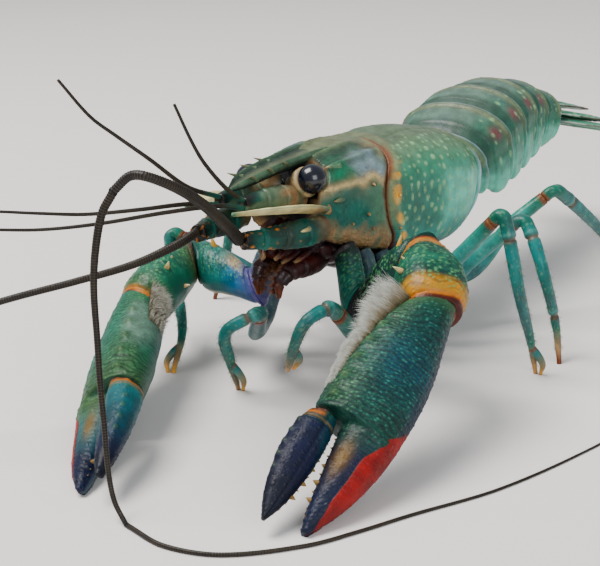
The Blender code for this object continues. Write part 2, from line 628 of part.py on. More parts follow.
def plant(name, reach):
    """Lay the points of a foot that come within `reach` of the floor flat on it."""
    for v in bpy.data.objects[name].data.vertices:
        if v.co.z < reach * MM:
            v.co.z = 0.0


LEG_ROOT_Y = {1: -38.2, 2: -33.0, 3: -27.6, 4: -21.8, 5: -15.2}
HIP_TURN = 2.55
KNEE_BACK = 1.2
LEGS = {
    "left": {
        2: (((13.4, -37.6, 10.8), (16.4, -48.4, 11.8), (17.0, -56.4, 18.8)),
            ((15.4, -62.8, 18.6), (12.6, -62.6, 13.6), (9.6, -60.6, 8.2))),
        3: (((16.0, -28.6, 13.2), (25.0, -28.0, 22.4), (32.2, -27.9, 30.2)),
            ((36.9, -27.9, 16.5), (37.4, -25.0, 8.0), (37.4, -22.4, 0.2))),
        4: (((15.4, -21.0, 12.2), (22.0, -17.0, 18.6), (28.6, -13.8, 25.2)),
            ((35.5, -16.2, 17.6), (37.0, -13.6, 6.4), (39.0, -16.0, 0.2))),
        5: (((15.6, -9.0, 11.8), (20.8, -1.6, 20.4), (26.6, 3.4, 26.4)),
            ((30.3, 20.1, 15.3), (33.0, 27.0, 7.0), (34.6, 31.0, 0.2))),
    },
    "right": {
        2: (((-10.8, -38.6, 9.8), (-7.0, -47.6, 8.0), (0.4, -55.8, 15.2)),
            ((-3.4, -61.0, 12.8), (-4.9, -58.4, 6.2), (-5.0, -56.4, 0.2))),
        3: (((-15.6, -29.6, 11.4), (-25.0, -33.6, 15.6), (-34.0, -37.4, 20.2)),
            ((-31.4, -41.6, 9.6), (-23.6, -49.8, 5.4), (-20.6, -56.4, 0.2))),
        4: (((-15.6, -21.0, 12.0), (-24.0, -18.0, 19.0), (-31.0, -15.4, 25.6)),
            ((-37.0, -17.0, 16.0), (-39.0, -17.6, 7.0), (-41.0, -19.0, 0.2))),
        5: (((-15.8, -9.0, 11.8), (-22.4, -0.6, 20.0), (-28.6, 5.0, 25.6)),
            ((-33.4, 18.4, 16.2), (-36.6, 26.0, 7.6), (-38.4, 31.0, 0.2))),
    },
}


def hip(y, side):
    """Where a leg leaves the belly, and the way out of the shell there."""
    turn = np.array([side * HIP_TURN])
    skin_point, out_point = (trunk(np.array([y]), turn, -lift)[0] for lift in (GAP + 0.35, 3.0))
    return skin_point, unit(out_point - skin_point)


def pincer(lower):
    """The small moving finger beside the tip of a second or third leg."""
    way = unit(lower[-1] - lower[-2])
    side = unit(np.cross(way, (0, 0, 1)) + (0, 0, 0.001))
    root = lower[-1] - way * 5.6
    path = [root, root + way * 1.4 + side * 1.0, root + way * 3.4 + side * 1.7,
            root + way * 5.4 + side * 1.1]
    return [limb(path, (0.8, 0.75, 0.6, 0.3), (0.7, 0.65, 0.5, 0.3), side, 6, 6)]


def make_legs():
    for word, legs in LEGS.items():
        side = 1 if word == "left" else -1
        for k, (upper, lower) in legs.items():
            root, away = hip(LEG_ROOT_Y[k], side)
            upper = [root, root + away * 1.6] + [np.array(p) for p in upper]
            path = route(upper, 12)
            way = unit(path[-1] - path[-2])
            upper[-1] = upper[-1] - way * KNEE_BACK
            shape = limb(upper, (1.5, 1.7, 1.7, 1.45), (1.3, 1.4, 1.4, 1.25), (0, 1, 0.1), 12, 8,
                         first=(root, away), last=(upper[-1], way))
            fuse(f"leg_{word}_{k}_upper", [shape], TURQUOISE)
            start = upper[-1] + way * GAP
            turn_in = unit(lower[0] - start)
            bend = [start, start + way * 1.5, start + way * 2.5 + turn_in * 1.3]
            lower = bend + [np.array(p) for p in lower]
            shape = limb(lower, (1.35, 1.25, 1.0, 0.4), (1.2, 1.1, 0.9, 0.4), (0, 1, 0.1), 13, 8,
                         first=(start, way), ease=1.5)
            shapes = [shape] + (pincer(lower) if k < 4 else [])
            fuse(f"leg_{word}_{k}_lower", shapes, TURQUOISE)
            if lower[-1][2] < 1:
                plant(f"leg_{word}_{k}_lower", 0.55)


# Abdomen: six ring plates along a spine that arches up and then down to the fan.
ABDOMEN_SPINE = ((0.0, -4.9, 28.0), (0.0, 3.0, 29.0), (-0.8, 12.0, 32.0), (-1.8, 22.5, 34.4),
                 (-2.4, 33.0, 34.9), (-2.2, 42.5, 33.8), (-1.2, 50.0, 31.8))
ABDOMEN_PARTS = (0.0, 0.22, 0.39, 0.55, 0.705, 0.85, 1.0)
ABDOMEN_KEYS = (0.0, 0.13, 0.22, 0.39, 0.55, 0.705, 0.85, 1.0)
ABDOMEN_HALF_WIDTH = (7.4, 8.8, 10.6, 12.2, 11.8, 10.8, 9.6, 8.2)
ABDOMEN_TOP = (4.8, 5.4, 6.2, 7.0, 7.1, 6.8, 5.9, 4.6)
ABDOMEN_DROP = (4.6, 5.4, 9.2, 11.6, 11.8, 11.0, 9.2, 6.0)


def ring_plate(centre, along, w, top, drop):
    """Cross-section of an abdomen ring: an arch over hanging side plates, hollowed below."""
    x = np.array([0, .32, .6, .83, .97, 1.0, .93, .80, .62, .3, 0,
                  -.3, -.62, -.80, -.93, -1.0, -.97, -.83, -.6, -.32]) * w
    g = np.array([1.0, .95, .8, .55, .2, -.25, -.85, -1.0, -.45, -.3, -.28,
                  -.3, -.45, -1.0, -.85, -.25, .2, .55, .8, .95])
    g = np.where(g > 0, g * top, g * drop)
    side = unit(np.cross(along, (0, 0, 1)))
    up = np.cross(side, along)
    return centre + side * x[:, None] + up * g[:, None]


def swimmerets(ring, along):
    """Two flat lobes that hang from the hollow under a ring."""
    lobes = []
    for j in (8, 12):
        root = ring[j] * 0.45 + ring[10] * 0.55 + (0, 0, 0.6)
        way = unit((ring[j] - ring[10]) * 0.25 - np.array([0, 0, 4.5]) + along * 2.0)
        path = root + way * np.array([0, 2.4, 4.8, 6.0])[:, None]
        lobes.append(skin(tube_rings(path, (1.2, 1.5, 1.3, 0.5), (0.45, 0.5, 0.4, 0.25), along, 6)))
    return lobes


def make_abdomen():
    path = route(ABDOMEN_SPINE, 61)
    tangent = np.gradient(path, axis=0)
    tangent /= np.linalg.norm(tangent, axis=1)[:, None]
    for k in range(6):
        a, b = ABDOMEN_PARTS[k], ABDOMEN_PARTS[k + 1]
        rings = []
        for j, t in enumerate(np.linspace(0, 1, 5)):
            u = a + (b - a) * (0.017 + 0.966 * t)
            place = np.array([np.interp(u, np.linspace(0, 1, 61), path[:, i]) for i in range(3)])
            way = unit([np.interp(u, np.linspace(0, 1, 61), tangent[:, i]) for i in range(3)])
            w, top, drop = (float(smooth(ABDOMEN_KEYS, v, [u])[0])
                            for v in (ABDOMEN_HALF_WIDTH, ABDOMEN_TOP, ABDOMEN_DROP))
            grow = (0.93, 0.99, 1.0, 1.02, 1.03)[j]
            rings.append(ring_plate(place, way, w * grow, top * grow, drop * (0.66 + 0.36 * math.sin(
                math.pi * (0.12 + 0.75 * t)))))
        shapes = [skin(rings, fan=False)]
        if 0 < k < 5:
            shapes += swimmerets(np.array(rings[2]), way)
        fuse(f"abdomen_{k + 1}", shapes, TEAL)


FAN_ROOT = (-1.15, 50.3, 33.6)
FAN_ALONG = (0.15, 0.97, -0.26)


def make_tail_fan():
    along = unit(FAN_ALONG)
    side = unit(np.cross(along, (0, 0, 1)))
    up = np.cross(side, along)
    root = np.array(FAN_ROOT)
    blades = {"telson": (0.0, 0.0, 17.0, 4.6, 0.6),
              "uropod_left_inner": (1, 22.0, 18.6, 4.4, -1.5),
              "uropod_right_inner": (-1, 22.0, 18.6, 4.4, -1.5),
              "uropod_left_outer": (1, 42.0, 19.4, 5.0, -3.2),
              "uropod_right_outer": (-1, 42.0, 19.4, 5.0, -3.2)}
    for name, (hand, spread, length, half, level) in blades.items():
        turn = math.radians(spread) * hand
        way = along * math.cos(turn) + side * math.sin(turn)
        wide = side * math.cos(turn) - along * math.sin(turn)
        start = root + side * hand * (1.4 + spread * 0.07) + up * level + along * (0.85 - 0.24 * level)
        t = np.array([0, 0.1, 0.3, 0.55, 0.8, 0.95, 1.0])
        path = start + way * (t * length)[:, None]
        width = half * np.array([0.32, 0.6, 0.88, 1.0, 0.96, 0.66, 0.3])
        deep = np.array([0.6, 0.6, 0.6, 0.55, 0.45, 0.4, 0.3])
        rings = tube_rings(path, width, deep, wide, 10, 2.3)
        fuse(name, [skin(rings)], TEAL)


def centre_on_floor():
    """Move everything so that the origin lies on the floor below the middle of the model."""
    spots = np.vstack([[v.co[:] for v in obj.data.vertices] for obj in bpy.context.scene.objects])
    low, high = spots.min(axis=0), spots.max(axis=0)
    middle = (low + high) / 2
    for obj in bpy.context.scene.objects:
        obj.data.transform(Matrix.Translation((-middle[0], -middle[1], -low[2])))
    print("size in mm", np.round((high - low) / MM, 1), "middle", np.round(middle / MM, 2))


def main():
    for obj in list(bpy.data.objects):
        bpy.data.objects.remove(obj)
    make_thorax()
    make_head()
    make_eyes()
    make_feeler_bases()
    make_feelers()
    make_maxillipeds()
    make_claw(CLAW_LEFT, "left")
    make_claw(CLAW_RIGHT, "right")
    make_legs()
    make_abdomen()
    make_tail_fan()
    centre_on_floor()


main()
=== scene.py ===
# %% [markdown]
# # A red-claw crayfish, dressed for its portrait
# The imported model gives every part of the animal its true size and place. This lesson puts a
# fine shell, bristles and colour over it. Each shape is a formula on a grid of points, worked
# out for all points at once with numpy, and each finish is a small network of shader nodes.

import json
import math

import bpy
import numpy as np
from mathutils import Matrix, Vector

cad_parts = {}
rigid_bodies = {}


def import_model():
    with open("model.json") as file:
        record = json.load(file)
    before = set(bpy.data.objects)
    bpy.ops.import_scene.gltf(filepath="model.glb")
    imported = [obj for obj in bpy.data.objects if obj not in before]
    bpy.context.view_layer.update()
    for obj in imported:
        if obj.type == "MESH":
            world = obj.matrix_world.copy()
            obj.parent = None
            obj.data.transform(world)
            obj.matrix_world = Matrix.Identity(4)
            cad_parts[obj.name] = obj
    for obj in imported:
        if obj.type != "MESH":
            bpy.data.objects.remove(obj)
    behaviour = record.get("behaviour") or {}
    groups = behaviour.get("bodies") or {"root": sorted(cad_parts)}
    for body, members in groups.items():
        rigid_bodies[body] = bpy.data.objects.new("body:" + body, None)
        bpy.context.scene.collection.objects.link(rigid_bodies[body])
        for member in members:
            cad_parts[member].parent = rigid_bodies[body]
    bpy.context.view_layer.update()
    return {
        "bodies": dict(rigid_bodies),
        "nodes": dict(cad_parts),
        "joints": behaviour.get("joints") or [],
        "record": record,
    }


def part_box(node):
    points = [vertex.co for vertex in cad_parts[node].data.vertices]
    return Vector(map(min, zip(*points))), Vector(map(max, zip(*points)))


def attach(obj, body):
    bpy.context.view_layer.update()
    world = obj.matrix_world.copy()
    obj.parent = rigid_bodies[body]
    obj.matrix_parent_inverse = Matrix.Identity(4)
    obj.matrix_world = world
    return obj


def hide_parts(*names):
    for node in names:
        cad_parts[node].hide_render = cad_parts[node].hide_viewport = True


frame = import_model()
print(len(frame["nodes"]), "solids loaded")

# %% [markdown]
# ## One ruler for the whole animal
# Lengths here are millimetres, with the head towards -Y and the animal's left towards +X. The
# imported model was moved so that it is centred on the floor, so one measured point, the middle of
# the left eye, tells how far everything has to be shifted.

# %% Shift from the maker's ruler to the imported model
MM = 0.001
EYE_CENTRE = np.array((6.3, -46.9, 38.5))
SHIFT = np.mean(np.array([list(corner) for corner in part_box("eye_left")]), axis=0) / MM - EYE_CENTRE
print("shift in mm", np.round(SHIFT, 2))

# %% [markdown]
# ## Camera
# The photographer stood ahead of the animal's left shoulder and looked down by 18 degrees. The
# position and focal length were found by matching the eye, the claws' tips and the feet.

# %% Camera
CAMERA_PLACE = (147.6, -241.9, 99.2)
CAMERA_TURN, CAMERA_DOWN, CAMERA_ROLL = np.radians((36.6, 18.3, -2.3))
FOCAL_PIXELS, IMAGE_WIDTH = 1426.0, 600.0


def make_camera():
    """The view axis from turn and tilt, then the right and up axes rolled about it."""
    forward = np.array([-math.sin(CAMERA_TURN) * math.cos(CAMERA_DOWN),
                        math.cos(CAMERA_TURN) * math.cos(CAMERA_DOWN), -math.sin(CAMERA_DOWN)])
    right = np.cross(forward, (0, 0, 1))
    right /= np.linalg.norm(right)
    up = np.cross(right, forward)
    c, s = math.cos(CAMERA_ROLL), math.sin(CAMERA_ROLL)
    right, up = right * c + up * s, up * c - right * s
    lens = bpy.data.cameras.new("portrait_camera")
    lens.sensor_width = 36.0
    lens.lens = 36.0 * FOCAL_PIXELS / IMAGE_WIDTH
    lens.clip_start, lens.clip_end = 0.01, 20.0
    camera = bpy.data.objects.new("portrait_camera", lens)
    bpy.context.scene.collection.objects.link(camera)
    turn = Matrix(np.column_stack([right, up, -forward]).tolist()).to_4x4()
    camera.matrix_world = Matrix.Translation((np.array(CAMERA_PLACE) + SHIFT) * MM) @ turn
    bpy.context.scene.camera = camera
    return camera


camera = make_camera()
print("lens in mm", round(camera.data.lens, 2))

# %% [markdown]
# ## Floor and light
# A pale floor and one big soft lamp above, with a weaker one at the side, give the flat, bright
# light of a shallow tank. The lamps are large, so the shadows have soft edges.

# %% Floor and lamps


def plain_floor():
    """One wide square at z = 0 with a pale, nearly matt finish."""
    mesh = bpy.data.meshes.new("studio_floor")
    r = 6.0
    mesh.from_pydata([(-r, -r, 0), (r, -r, 0), (r, r, 0), (-r, r, 0)], [], [(0, 1, 2, 3)])
    floor = bpy.data.objects.new("studio_floor", mesh)
    bpy.context.scene.collection.objects.link(floor)
    material = bpy.data.materials.new("pale_floor")
    material.use_nodes = True
    shader = material.node_tree.nodes["Principled BSDF"]
    shader.inputs["Base Color"].default_value = (0.78, 0.75, 0.73, 1)
    shader.inputs["Roughness"].default_value = 0.9
    mesh.materials.append(material)


def soft_lamp(name, place, aim, size, power, colour):
    """A square area lamp at `place` that faces `aim`, both in metres."""
    lamp = bpy.data.lights.new(name, "AREA")
    lamp.size, lamp.energy, lamp.color = size, power, colour
    holder = bpy.data.objects.new(name, lamp)
    bpy.context.scene.collection.objects.link(holder)
    way = Vector(aim) - Vector(place)
    holder.matrix_world = (Matrix.Translation(place)
                           @ way.to_track_quat("-Z", "Y").to_matrix().to_4x4())


plain_floor()
soft_lamp("lamp_above", (-0.25, -0.20, 0.75), (0, 0, 0.02), 0.45, 11.0, (1.0, 0.98, 0.95))
soft_lamp("lamp_side", (0.75, -0.45, 0.40), (0, 0, 0.03), 0.50, 4.0, (0.95, 0.98, 1.0))
world = bpy.data.worlds.new("studio_air")
bpy.context.scene.world = world
world.use_nodes = True
world.node_tree.nodes["Background"].inputs["Color"].default_value = (0.93, 0.96, 1.0, 1)
world.node_tree.nodes["Background"].inputs["Strength"].default_value = 0.5
print("floor and lamps ready")

# %% [markdown]
# ## Smooth curves from a few measures
# A naturalist measures an animal at a few stations. `smooth` joins such measures without
# overshooting, and `route` carries a line through points in space.

# %% Curves through measured points


def smooth(keys, values, at):
    """Cubic through (keys, values) read at `at`: the slope at each key is the harmonic mean of
    its two neighbours' slopes, or zero where they differ in sign, so the curve never overshoots."""
    x, y = np.asarray(keys, float), np.asarray(values, float)
    order = np.argsort(x)
    x, y = x[order], y[order]
    step = np.diff(x)
    slope = np.diff(y) / step
    inner = np.where(slope[1:] * slope[:-1] > 0,
                     2 * slope[1:] * slope[:-1] / (slope[1:] + slope[:-1] + 1e-12), 0.0)
    tangent = np.concatenate([slope[:1], inner, slope[-1:]])
    at = np.clip(np.asarray(at, float), x[0], x[-1])
    i = np.clip(np.searchsorted(x, at) - 1, 0, len(x) - 2)
    h = step[i]
    s = (at - x[i]) / h
    return ((2 * s**3 - 3 * s**2 + 1) * y[i] + (s**3 - 2 * s**2 + s) * h * tangent[i]
            + (3 * s**2 - 2 * s**3) * y[i + 1] + (s**3 - s**2) * h * tangent[i + 1])


def route(points, count, ease=1.0):
    """`count` points on a cubic through `points`, whose tangent at each is the chord between its
    neighbours; they crowd towards the start where ease is above 1."""
    points = np.asarray(points, float)
    chord = np.concatenate([[0], np.cumsum(np.linalg.norm(np.diff(points, axis=0), axis=1))])
    mid = (points[2:] - points[:-2]) / (chord[2:] - chord[:-2])[:, None]
    first = (points[1] - points[0]) / (chord[1] - chord[0])
    last = (points[-1] - points[-2]) / (chord[-1] - chord[-2])
    tangent = np.vstack([first, mid, last])
    at = chord[-1] * np.linspace(0, 1, count) ** ease
    i = np.clip(np.searchsorted(chord, at) - 1, 0, len(chord) - 2)
    h = (chord[i + 1] - chord[i])[:, None]
    s = (at - chord[i])[:, None] / h
    return ((2 * s**3 - 3 * s**2 + 1) * points[i] + (s**3 - 2 * s**2 + s) * h * tangent[i]
            + (3 * s**2 - 2 * s**3) * points[i + 1] + (s**3 - s**2) * h * tangent[i + 1])


def unit(v):
    """The vectors made one long."""
    v = np.asarray(v, float)
    return v / np.linalg.norm(v, axis=-1, keepdims=True)


def turns(count):
    """The angles of `count` points spread evenly round a circle."""
    return np.arange(count) * 2 * math.pi / count


def bump_at(x, middle, width):
    """A bell curve: 1 at `middle` and near 0 beyond two widths from it."""
    return np.exp(-((x - middle) / width) ** 2)


def step_up(x, low, high):
    """0 below `low`, 1 above `high`, and an S-shaped rise between them."""
    t = np.clip((x - low) / (high - low), 0, 1)
    return t * t * (3 - 2 * t)


def fall(x, low, high):
    """1 below `low`, 0 above `high`: a rise read backwards."""
    return step_up(-x, -high, -low)


def grain(points, cell, seed=1):
    """Cloudy noise from -1 to 1: random numbers sit on the corners of a cubic lattice of `cell`
    mm, and each point blends the eight corners round it with an S-shaped weight."""
    table = np.random.default_rng(seed).uniform(-1, 1, (32, 32, 32))
    q = np.asarray(points, float) / cell
    low = np.floor(q).astype(int)
    f = q - low
    f = f * f * (3 - 2 * f)
    total = 0.0
    for corner in np.ndindex(2, 2, 2):
        weight = np.prod(np.where(corner, f, 1 - f), axis=-1)
        i, j, k = np.moveaxis((low + corner) % 32, -1, 0)
        total = total + weight * table[i, j, k]
    return total


print("a smooth curve at half way", float(smooth((0, 1, 2), (0, 1, 0), 0.5)))

# %% [markdown]
# ## From a grid of points to a mesh
# A patch is a grid of points, row after row, that closes round a limb and ends in a pole or a
# flat cap. Patches are gathered into one mesh. The sign of a patch's volume tells whether its
# faces point outwards, and the ones that don't are turned round.

# %% Patches and meshes


def patch(points, tone, first=None, last=None, u=None):
    """A closed skin over a grid (rows, columns, 3) that wraps round; `first` and `last` are the
    poles, or the middle of the end rings. `tone` holds a colour for each point."""
    points = np.asarray(points, float)
    n, m = points.shape[:2]
    first = points[0].mean(axis=0) if first is None else np.asarray(first, float)
    last = points[-1].mean(axis=0) if last is None else np.asarray(last, float)
    u = np.linspace(0, 1, n) if u is None else np.asarray(u, float)
    v = np.linspace(0, 1, m + 1)
    i, j = [a.ravel() for a in np.meshgrid(np.arange(n - 1), np.arange(m), indexing="ij")]
    k = (j + 1) % m
    quads = np.stack([i * m + j, i * m + k, (i + 1) * m + k, (i + 1) * m + j], axis=1)
    quad_uv = np.stack([np.stack([u[i], v[j]], 1), np.stack([u[i], v[j + 1]], 1),
                        np.stack([u[i + 1], v[j + 1]], 1), np.stack([u[i + 1], v[j]], 1)], axis=1)
    j = np.arange(m)
    k = (j + 1) % m
    half = (v[j] + v[j + 1]) / 2
    tris = np.concatenate([np.stack([np.full(m, n * m), k, j], 1),
                           np.stack([np.full(m, n * m + 1), (n - 1) * m + j, (n - 1) * m + k], 1)])
    at = lambda value, across: np.stack([np.full(m, value), across], 1)
    tri_uv = np.concatenate([
        np.stack([at(u[0], half), at(u[0], v[j + 1]), at(u[0], v[j])], axis=1),
        np.stack([at(u[-1], half), at(u[-1], v[j]), at(u[-1], v[j + 1])], axis=1)])
    verts = np.vstack([points.reshape(-1, 3), first, last])
    flat = verts - verts.mean(axis=0)
    volume = sum(np.einsum("ij,ij->", flat[f[:, 0]], np.cross(flat[f[:, 1]], flat[f[:, 2]]))
                 for f in (quads[:, :3], quads[:, [0, 2, 3]], tris))
    if volume < 0:
        quads, quad_uv, tris, tri_uv = (a[:, ::-1] for a in (quads, quad_uv, tris, tri_uv))
    tone = np.vstack([tone.reshape(-1, 3), tone[:1].mean(axis=1), tone[-1:].mean(axis=1)])
    return {"verts": verts, "quads": quads, "tris": tris, "quad_uv": quad_uv, "tri_uv": tri_uv,
            "tone": tone}


def finish_piece(name, patches, material, nodes=(), uv="shell"):
    """Puts patches into one mesh in metres at its place, with its UV map and tone, hangs it on the
    root body and hides the solids it stands for."""
    starts = np.cumsum([0] + [len(p["verts"]) for p in patches])
    verts = (np.vstack([p["verts"] for p in patches]) + SHIFT) * MM
    quads = np.vstack([p["quads"] + s for p, s in zip(patches, starts)])
    tris = np.vstack([p["tris"] + s for p, s in zip(patches, starts)])
    mesh = bpy.data.meshes.new(name)
    mesh.vertices.add(len(verts))
    mesh.vertices.foreach_set("co", verts.ravel())
    corners = np.concatenate([quads.ravel(), tris.ravel()]).astype(np.int32)
    mesh.loops.add(len(corners))
    mesh.loops.foreach_set("vertex_index", corners)
    mesh.polygons.add(len(quads) + len(tris))
    begin = np.concatenate([np.arange(len(quads)) * 4, len(quads) * 4 + np.arange(len(tris)) * 3])
    mesh.polygons.foreach_set("loop_start", begin.astype(np.int32))
    mesh.polygons.foreach_set("use_smooth", np.ones(len(begin), bool))
    spots = np.concatenate([np.vstack([p["quad_uv"] for p in patches]).reshape(-1, 2),
                            np.vstack([p["tri_uv"] for p in patches]).reshape(-1, 2)])
    mesh.uv_layers.new(name=uv).data.foreach_set("uv", spots.astype(np.float32).ravel())
    tone = np.vstack([p["tone"] for p in patches]).astype(np.float32)
    tone = np.column_stack([tone, np.ones(len(tone), np.float32)])
    mesh.attributes.new("tone", "FLOAT_COLOR", "POINT").data.foreach_set("color", tone.ravel())
    mesh.update(calc_edges=True)
    mesh.validate()
    mesh.materials.append(material)
    piece = bpy.data.objects.new(name, mesh)
    bpy.context.scene.collection.objects.link(piece)
    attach(piece, "root")
    if nodes:
        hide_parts(*nodes)
    print(name, len(quads) * 2 + len(tris), "triangles")

# %% [markdown]
# ## Two tools for living surfaces
# `swell` pushes a grid outwards to raise knobs and sink grooves, as real geometry that catches
# the light from every side. `dots` scatters spots or knobs evenly but never in rows, the way
# pores and flecks grow on a shell.

# %% Relief and scattered dots


def swell(points, height):
    """Moves a wrapped grid by `height` along its normals: the cross product of the differences
    along rows and columns, turned as a whole to point away from the rings' middles."""
    along = np.gradient(points, axis=0)
    across = np.roll(points, -1, axis=1) - np.roll(points, 1, axis=1)
    normal = np.cross(along, across)
    normal /= np.linalg.norm(normal, axis=-1, keepdims=True) + 1e-9
    away = points - points.mean(axis=1, keepdims=True)
    normal *= np.sign((normal * away).sum())
    return points + normal * np.broadcast_to(height, points.shape[:2])[..., None]


def dots(a, b, step, seed, size, vary, edge=0.2, jitter=0.35):
    """Round dots, one near each point of a square grid, moved at random by up to `jitter` of a
    step: 1 inside, 0 outside, soft over `edge`. A dot's radius in steps is size + vary * luck,
    where luck is its own random number from -1 to 1, which is returned as well."""
    table = np.random.default_rng(seed).uniform(-1, 1, (64, 64, 3))
    a, b = np.broadcast_arrays(np.asarray(a, float) / step, np.asarray(b, float) / step)
    i, j = np.floor(a).astype(int), np.floor(b).astype(int)
    best, luck = np.full(a.shape, 9.0), np.zeros(a.shape)
    for di in (-1, 0, 1):
        for dj in (-1, 0, 1):
            t = table[(i + di) % 64, (j + dj) % 64]
            d = np.hypot(a - (i + di + 0.5 + jitter * t[..., 0]),
                         b - (j + dj + 0.5 + jitter * t[..., 1]))
            luck = np.where(d < best, t[..., 2], luck)
            best = np.minimum(best, d)
    return step_up(size + vary * luck - best, 0, edge), luck


def way_round(rings):
    """How far each point lies from column 0 along its own ring, counted to either side."""
    steps = np.linalg.norm(np.roll(rings, -1, axis=1) - rings, axis=2)
    run = np.cumsum(steps, axis=1) - steps
    total = steps.sum(axis=1, keepdims=True)
    return np.where(run > total / 2, run - total, run)


def down_rows(rings):
    """The share of the way from the first ring to the last, for each point of a grid."""
    return np.broadcast_to(np.linspace(0, 1, len(rings))[:, None], rings.shape[:2])


def paint(red, green, blue):
    """A colour given as screen values up to 255, turned into the light values that shaders use.
    Its distance from grey grows by a third, because the soft light washes colours out."""
    c = np.array((red, green, blue)) / 255
    c = np.where(c <= 0.04045, c / 12.92, ((c + 0.055) / 1.055) ** 2.4)
    return np.clip(c.mean() + (c - c.mean()) * 1.33, 0.001, 1)


# blackish_and_shade is near black. It gives the dark marks on the antenna bases, mouth feet and whip
# tips, and painted shade in grooves, openings and under the rostrum.
PAINTS = {name: paint(*levels) for name, levels in {
    "olive": (84, 98, 80), "deep olive": (40, 52, 46), "khaki": (104, 108, 84),
    "sage": (88, 116, 92), "leaf": (70, 124, 100), "mint": (112, 184, 164),
    "lagoon": (64, 128, 120), "emerald": (34, 96, 72), "teal": (24, 84, 74),
    "lilac grey": (120, 136, 142), "cream": (196, 180, 138), "clay": (138, 114, 88),
    "tan": (128, 112, 84), "maroon": (58, 24, 20), "spot": (138, 172, 134), "rim": (166, 178, 196),
    "flank": (84, 86, 100), "belly": (34, 25, 28), "peach": (206, 156, 92), "blackish_and_shade": (16, 15, 18),
    "pine": (8, 52, 44), "sea": (3, 56, 66), "night": (4, 10, 22), "fleck": (92, 140, 96),
    "orange": (170, 108, 32), "gold": (160, 118, 42), "ochre": (112, 86, 38),
    "scarlet": (122, 2, 0), "crimson": (98, 0, 0), "ember": (76, 34, 14), "rust": (104, 54, 26),
    "navy": (6, 18, 40), "indigo": (10, 14, 38), "turquoise": (40, 100, 98), "sky": (46, 98, 130),
    "violet": (84, 78, 122), "ivory": (216, 206, 166), "bark": (15, 10, 7), "slate": (66, 80, 88),
    "foam": (196, 198, 192), "rose": (128, 40, 66), "dusk": (82, 96, 98), "pewter": (88, 108, 98),
    "moss": (58, 84, 54), "reed": (28, 86, 68), "lake": (16, 84, 88), "mist": (104, 150, 146),
    "beige": (164, 146, 116)}.items()}


def tone_of(name, grid):
    """One paint spread over a grid."""
    return np.ones(grid.shape[:2] + (3,)) * PAINTS[name]


def coats(tone, layers):
    """Lays each (paint, mask) over a tone in turn, opaque where its mask is 1."""
    for name, mask in layers:
        tone = tone + (PAINTS[name] - tone) * np.clip(mask, 0, 1)[..., None]
    return tone


print(len(PAINTS), "named paints")

# %% [markdown]
# ## A shell's finish
# Each shell piece carries its own colours as an attribute named tone, worked out by formula with
# its shape. The shader mottles that tone, peppers it with fine dark pores and adds a skin of
# small pits, all laid out in millimetres on Object coordinates, so nothing slides as the view
# turns.

# %% Shader words


class Finish:
    """A Principled shader, and short words for the nodes that feed it."""

    def __init__(self, name):
        self.material = bpy.data.materials.new(name)
        self.material.use_nodes = True
        self.tree = self.material.node_tree
        self.shader = self.tree.nodes["Principled BSDF"]
        place = self.add("TexCoord").outputs["Object"]
        self.place = self.add("VectorMath", {0: place, "Scale": 1 / MM},
                              operation="SCALE").outputs[0]

    def add(self, kind, inputs=None, **settings):
        node = self.tree.nodes.new("ShaderNode" + kind)
        for key, value in settings.items():
            setattr(node, key, value)
        for key, value in (inputs or {}).items():
            self.feed(node.inputs[key], value)
        return node

    def feed(self, socket, value):
        if isinstance(value, bpy.types.NodeSocket):
            self.tree.links.new(value, socket)
        else:
            socket.default_value = value

    def set(self, **values):
        """Feeds the shader's sockets, whose names are written with _ for a blank."""
        for key, value in values.items():
            self.feed(self.shader.inputs[key.replace("_", " ")], value)

    def tone(self):
        return self.add("Attribute", attribute_name="tone").outputs["Color"]

    def noise(self, size, detail):
        return self.add("TexNoise", {"Vector": self.place, "Scale": 1 / size,
                                     "Detail": detail}).outputs["Fac"]

    def cells(self, size):
        return self.add("TexVoronoi", {"Vector": self.place, "Scale": 1 / size}).outputs["Distance"]

    def rise(self, value, low, high, bottom=0.0, top=1.0):
        return self.add("MapRange", {"Value": value, "From Min": low, "From Max": high,
                                     "To Min": bottom, "To Max": top},
                        interpolation_type="SMOOTHSTEP").outputs["Result"]

    def math(self, operation, a, b):
        return self.add("Math", {0: a, 1: b}, operation=operation).outputs[0]

    def shade(self, colour, amount):
        return self.add("VectorMath", {0: colour, "Scale": amount}, operation="SCALE").outputs[0]

    def relief(self, height, depth):
        bump = self.add("Bump", {"Height": height, "Distance": depth * MM, "Strength": 1.0})
        self.set(Normal=bump.outputs["Normal"])


def shell_finish(name, rough=0.38, pore=0.55, pore_dark=0.72, coat=0.1):
    """Tone times a cloudy shade, darker in pores set `pore` mm apart, over a pitted surface."""
    f = Finish(name)
    cloud = f.rise(f.noise(2.4, 4.0), 0.34, 0.66, 0.80, 1.16)
    pits, fine = f.cells(pore), f.noise(pore * 0.45, 2.0)
    shade = f.math("MULTIPLY", cloud, f.rise(pits, 0.08, 0.34, pore_dark, 1.0))
    f.set(Base_Color=f.shade(f.tone(), shade),
          Roughness=f.rise(fine, 0.3, 0.7, rough - 0.07, rough + 0.12), Coat_Weight=coat,
          Coat_Roughness=0.22, Specular_IOR_Level=0.22)
    f.relief(f.math("ADD", f.rise(pits, 0.0, 0.4), f.math("MULTIPLY", fine, 0.6)), 0.05)
    return f.material


def shell_piece(node, patches, rough=0.38):
    """The patches under a shell finish of their own, in place of one node."""
    finish_piece(node + "_shell", patches, shell_finish(node + "_finish", rough), [node])


print("shader words ready")

# %% [markdown]
# ## The trunk's shell
# The carapace is a slightly flattened tube, pitched head-up. Half-width, height above the axis
# and depth below it are measured at ten stations. A cross-section is a rounded box: the cosine
# and sine of the angle round it, each raised to a power. The neck groove splits it into the
# head's shield and the hind shell.

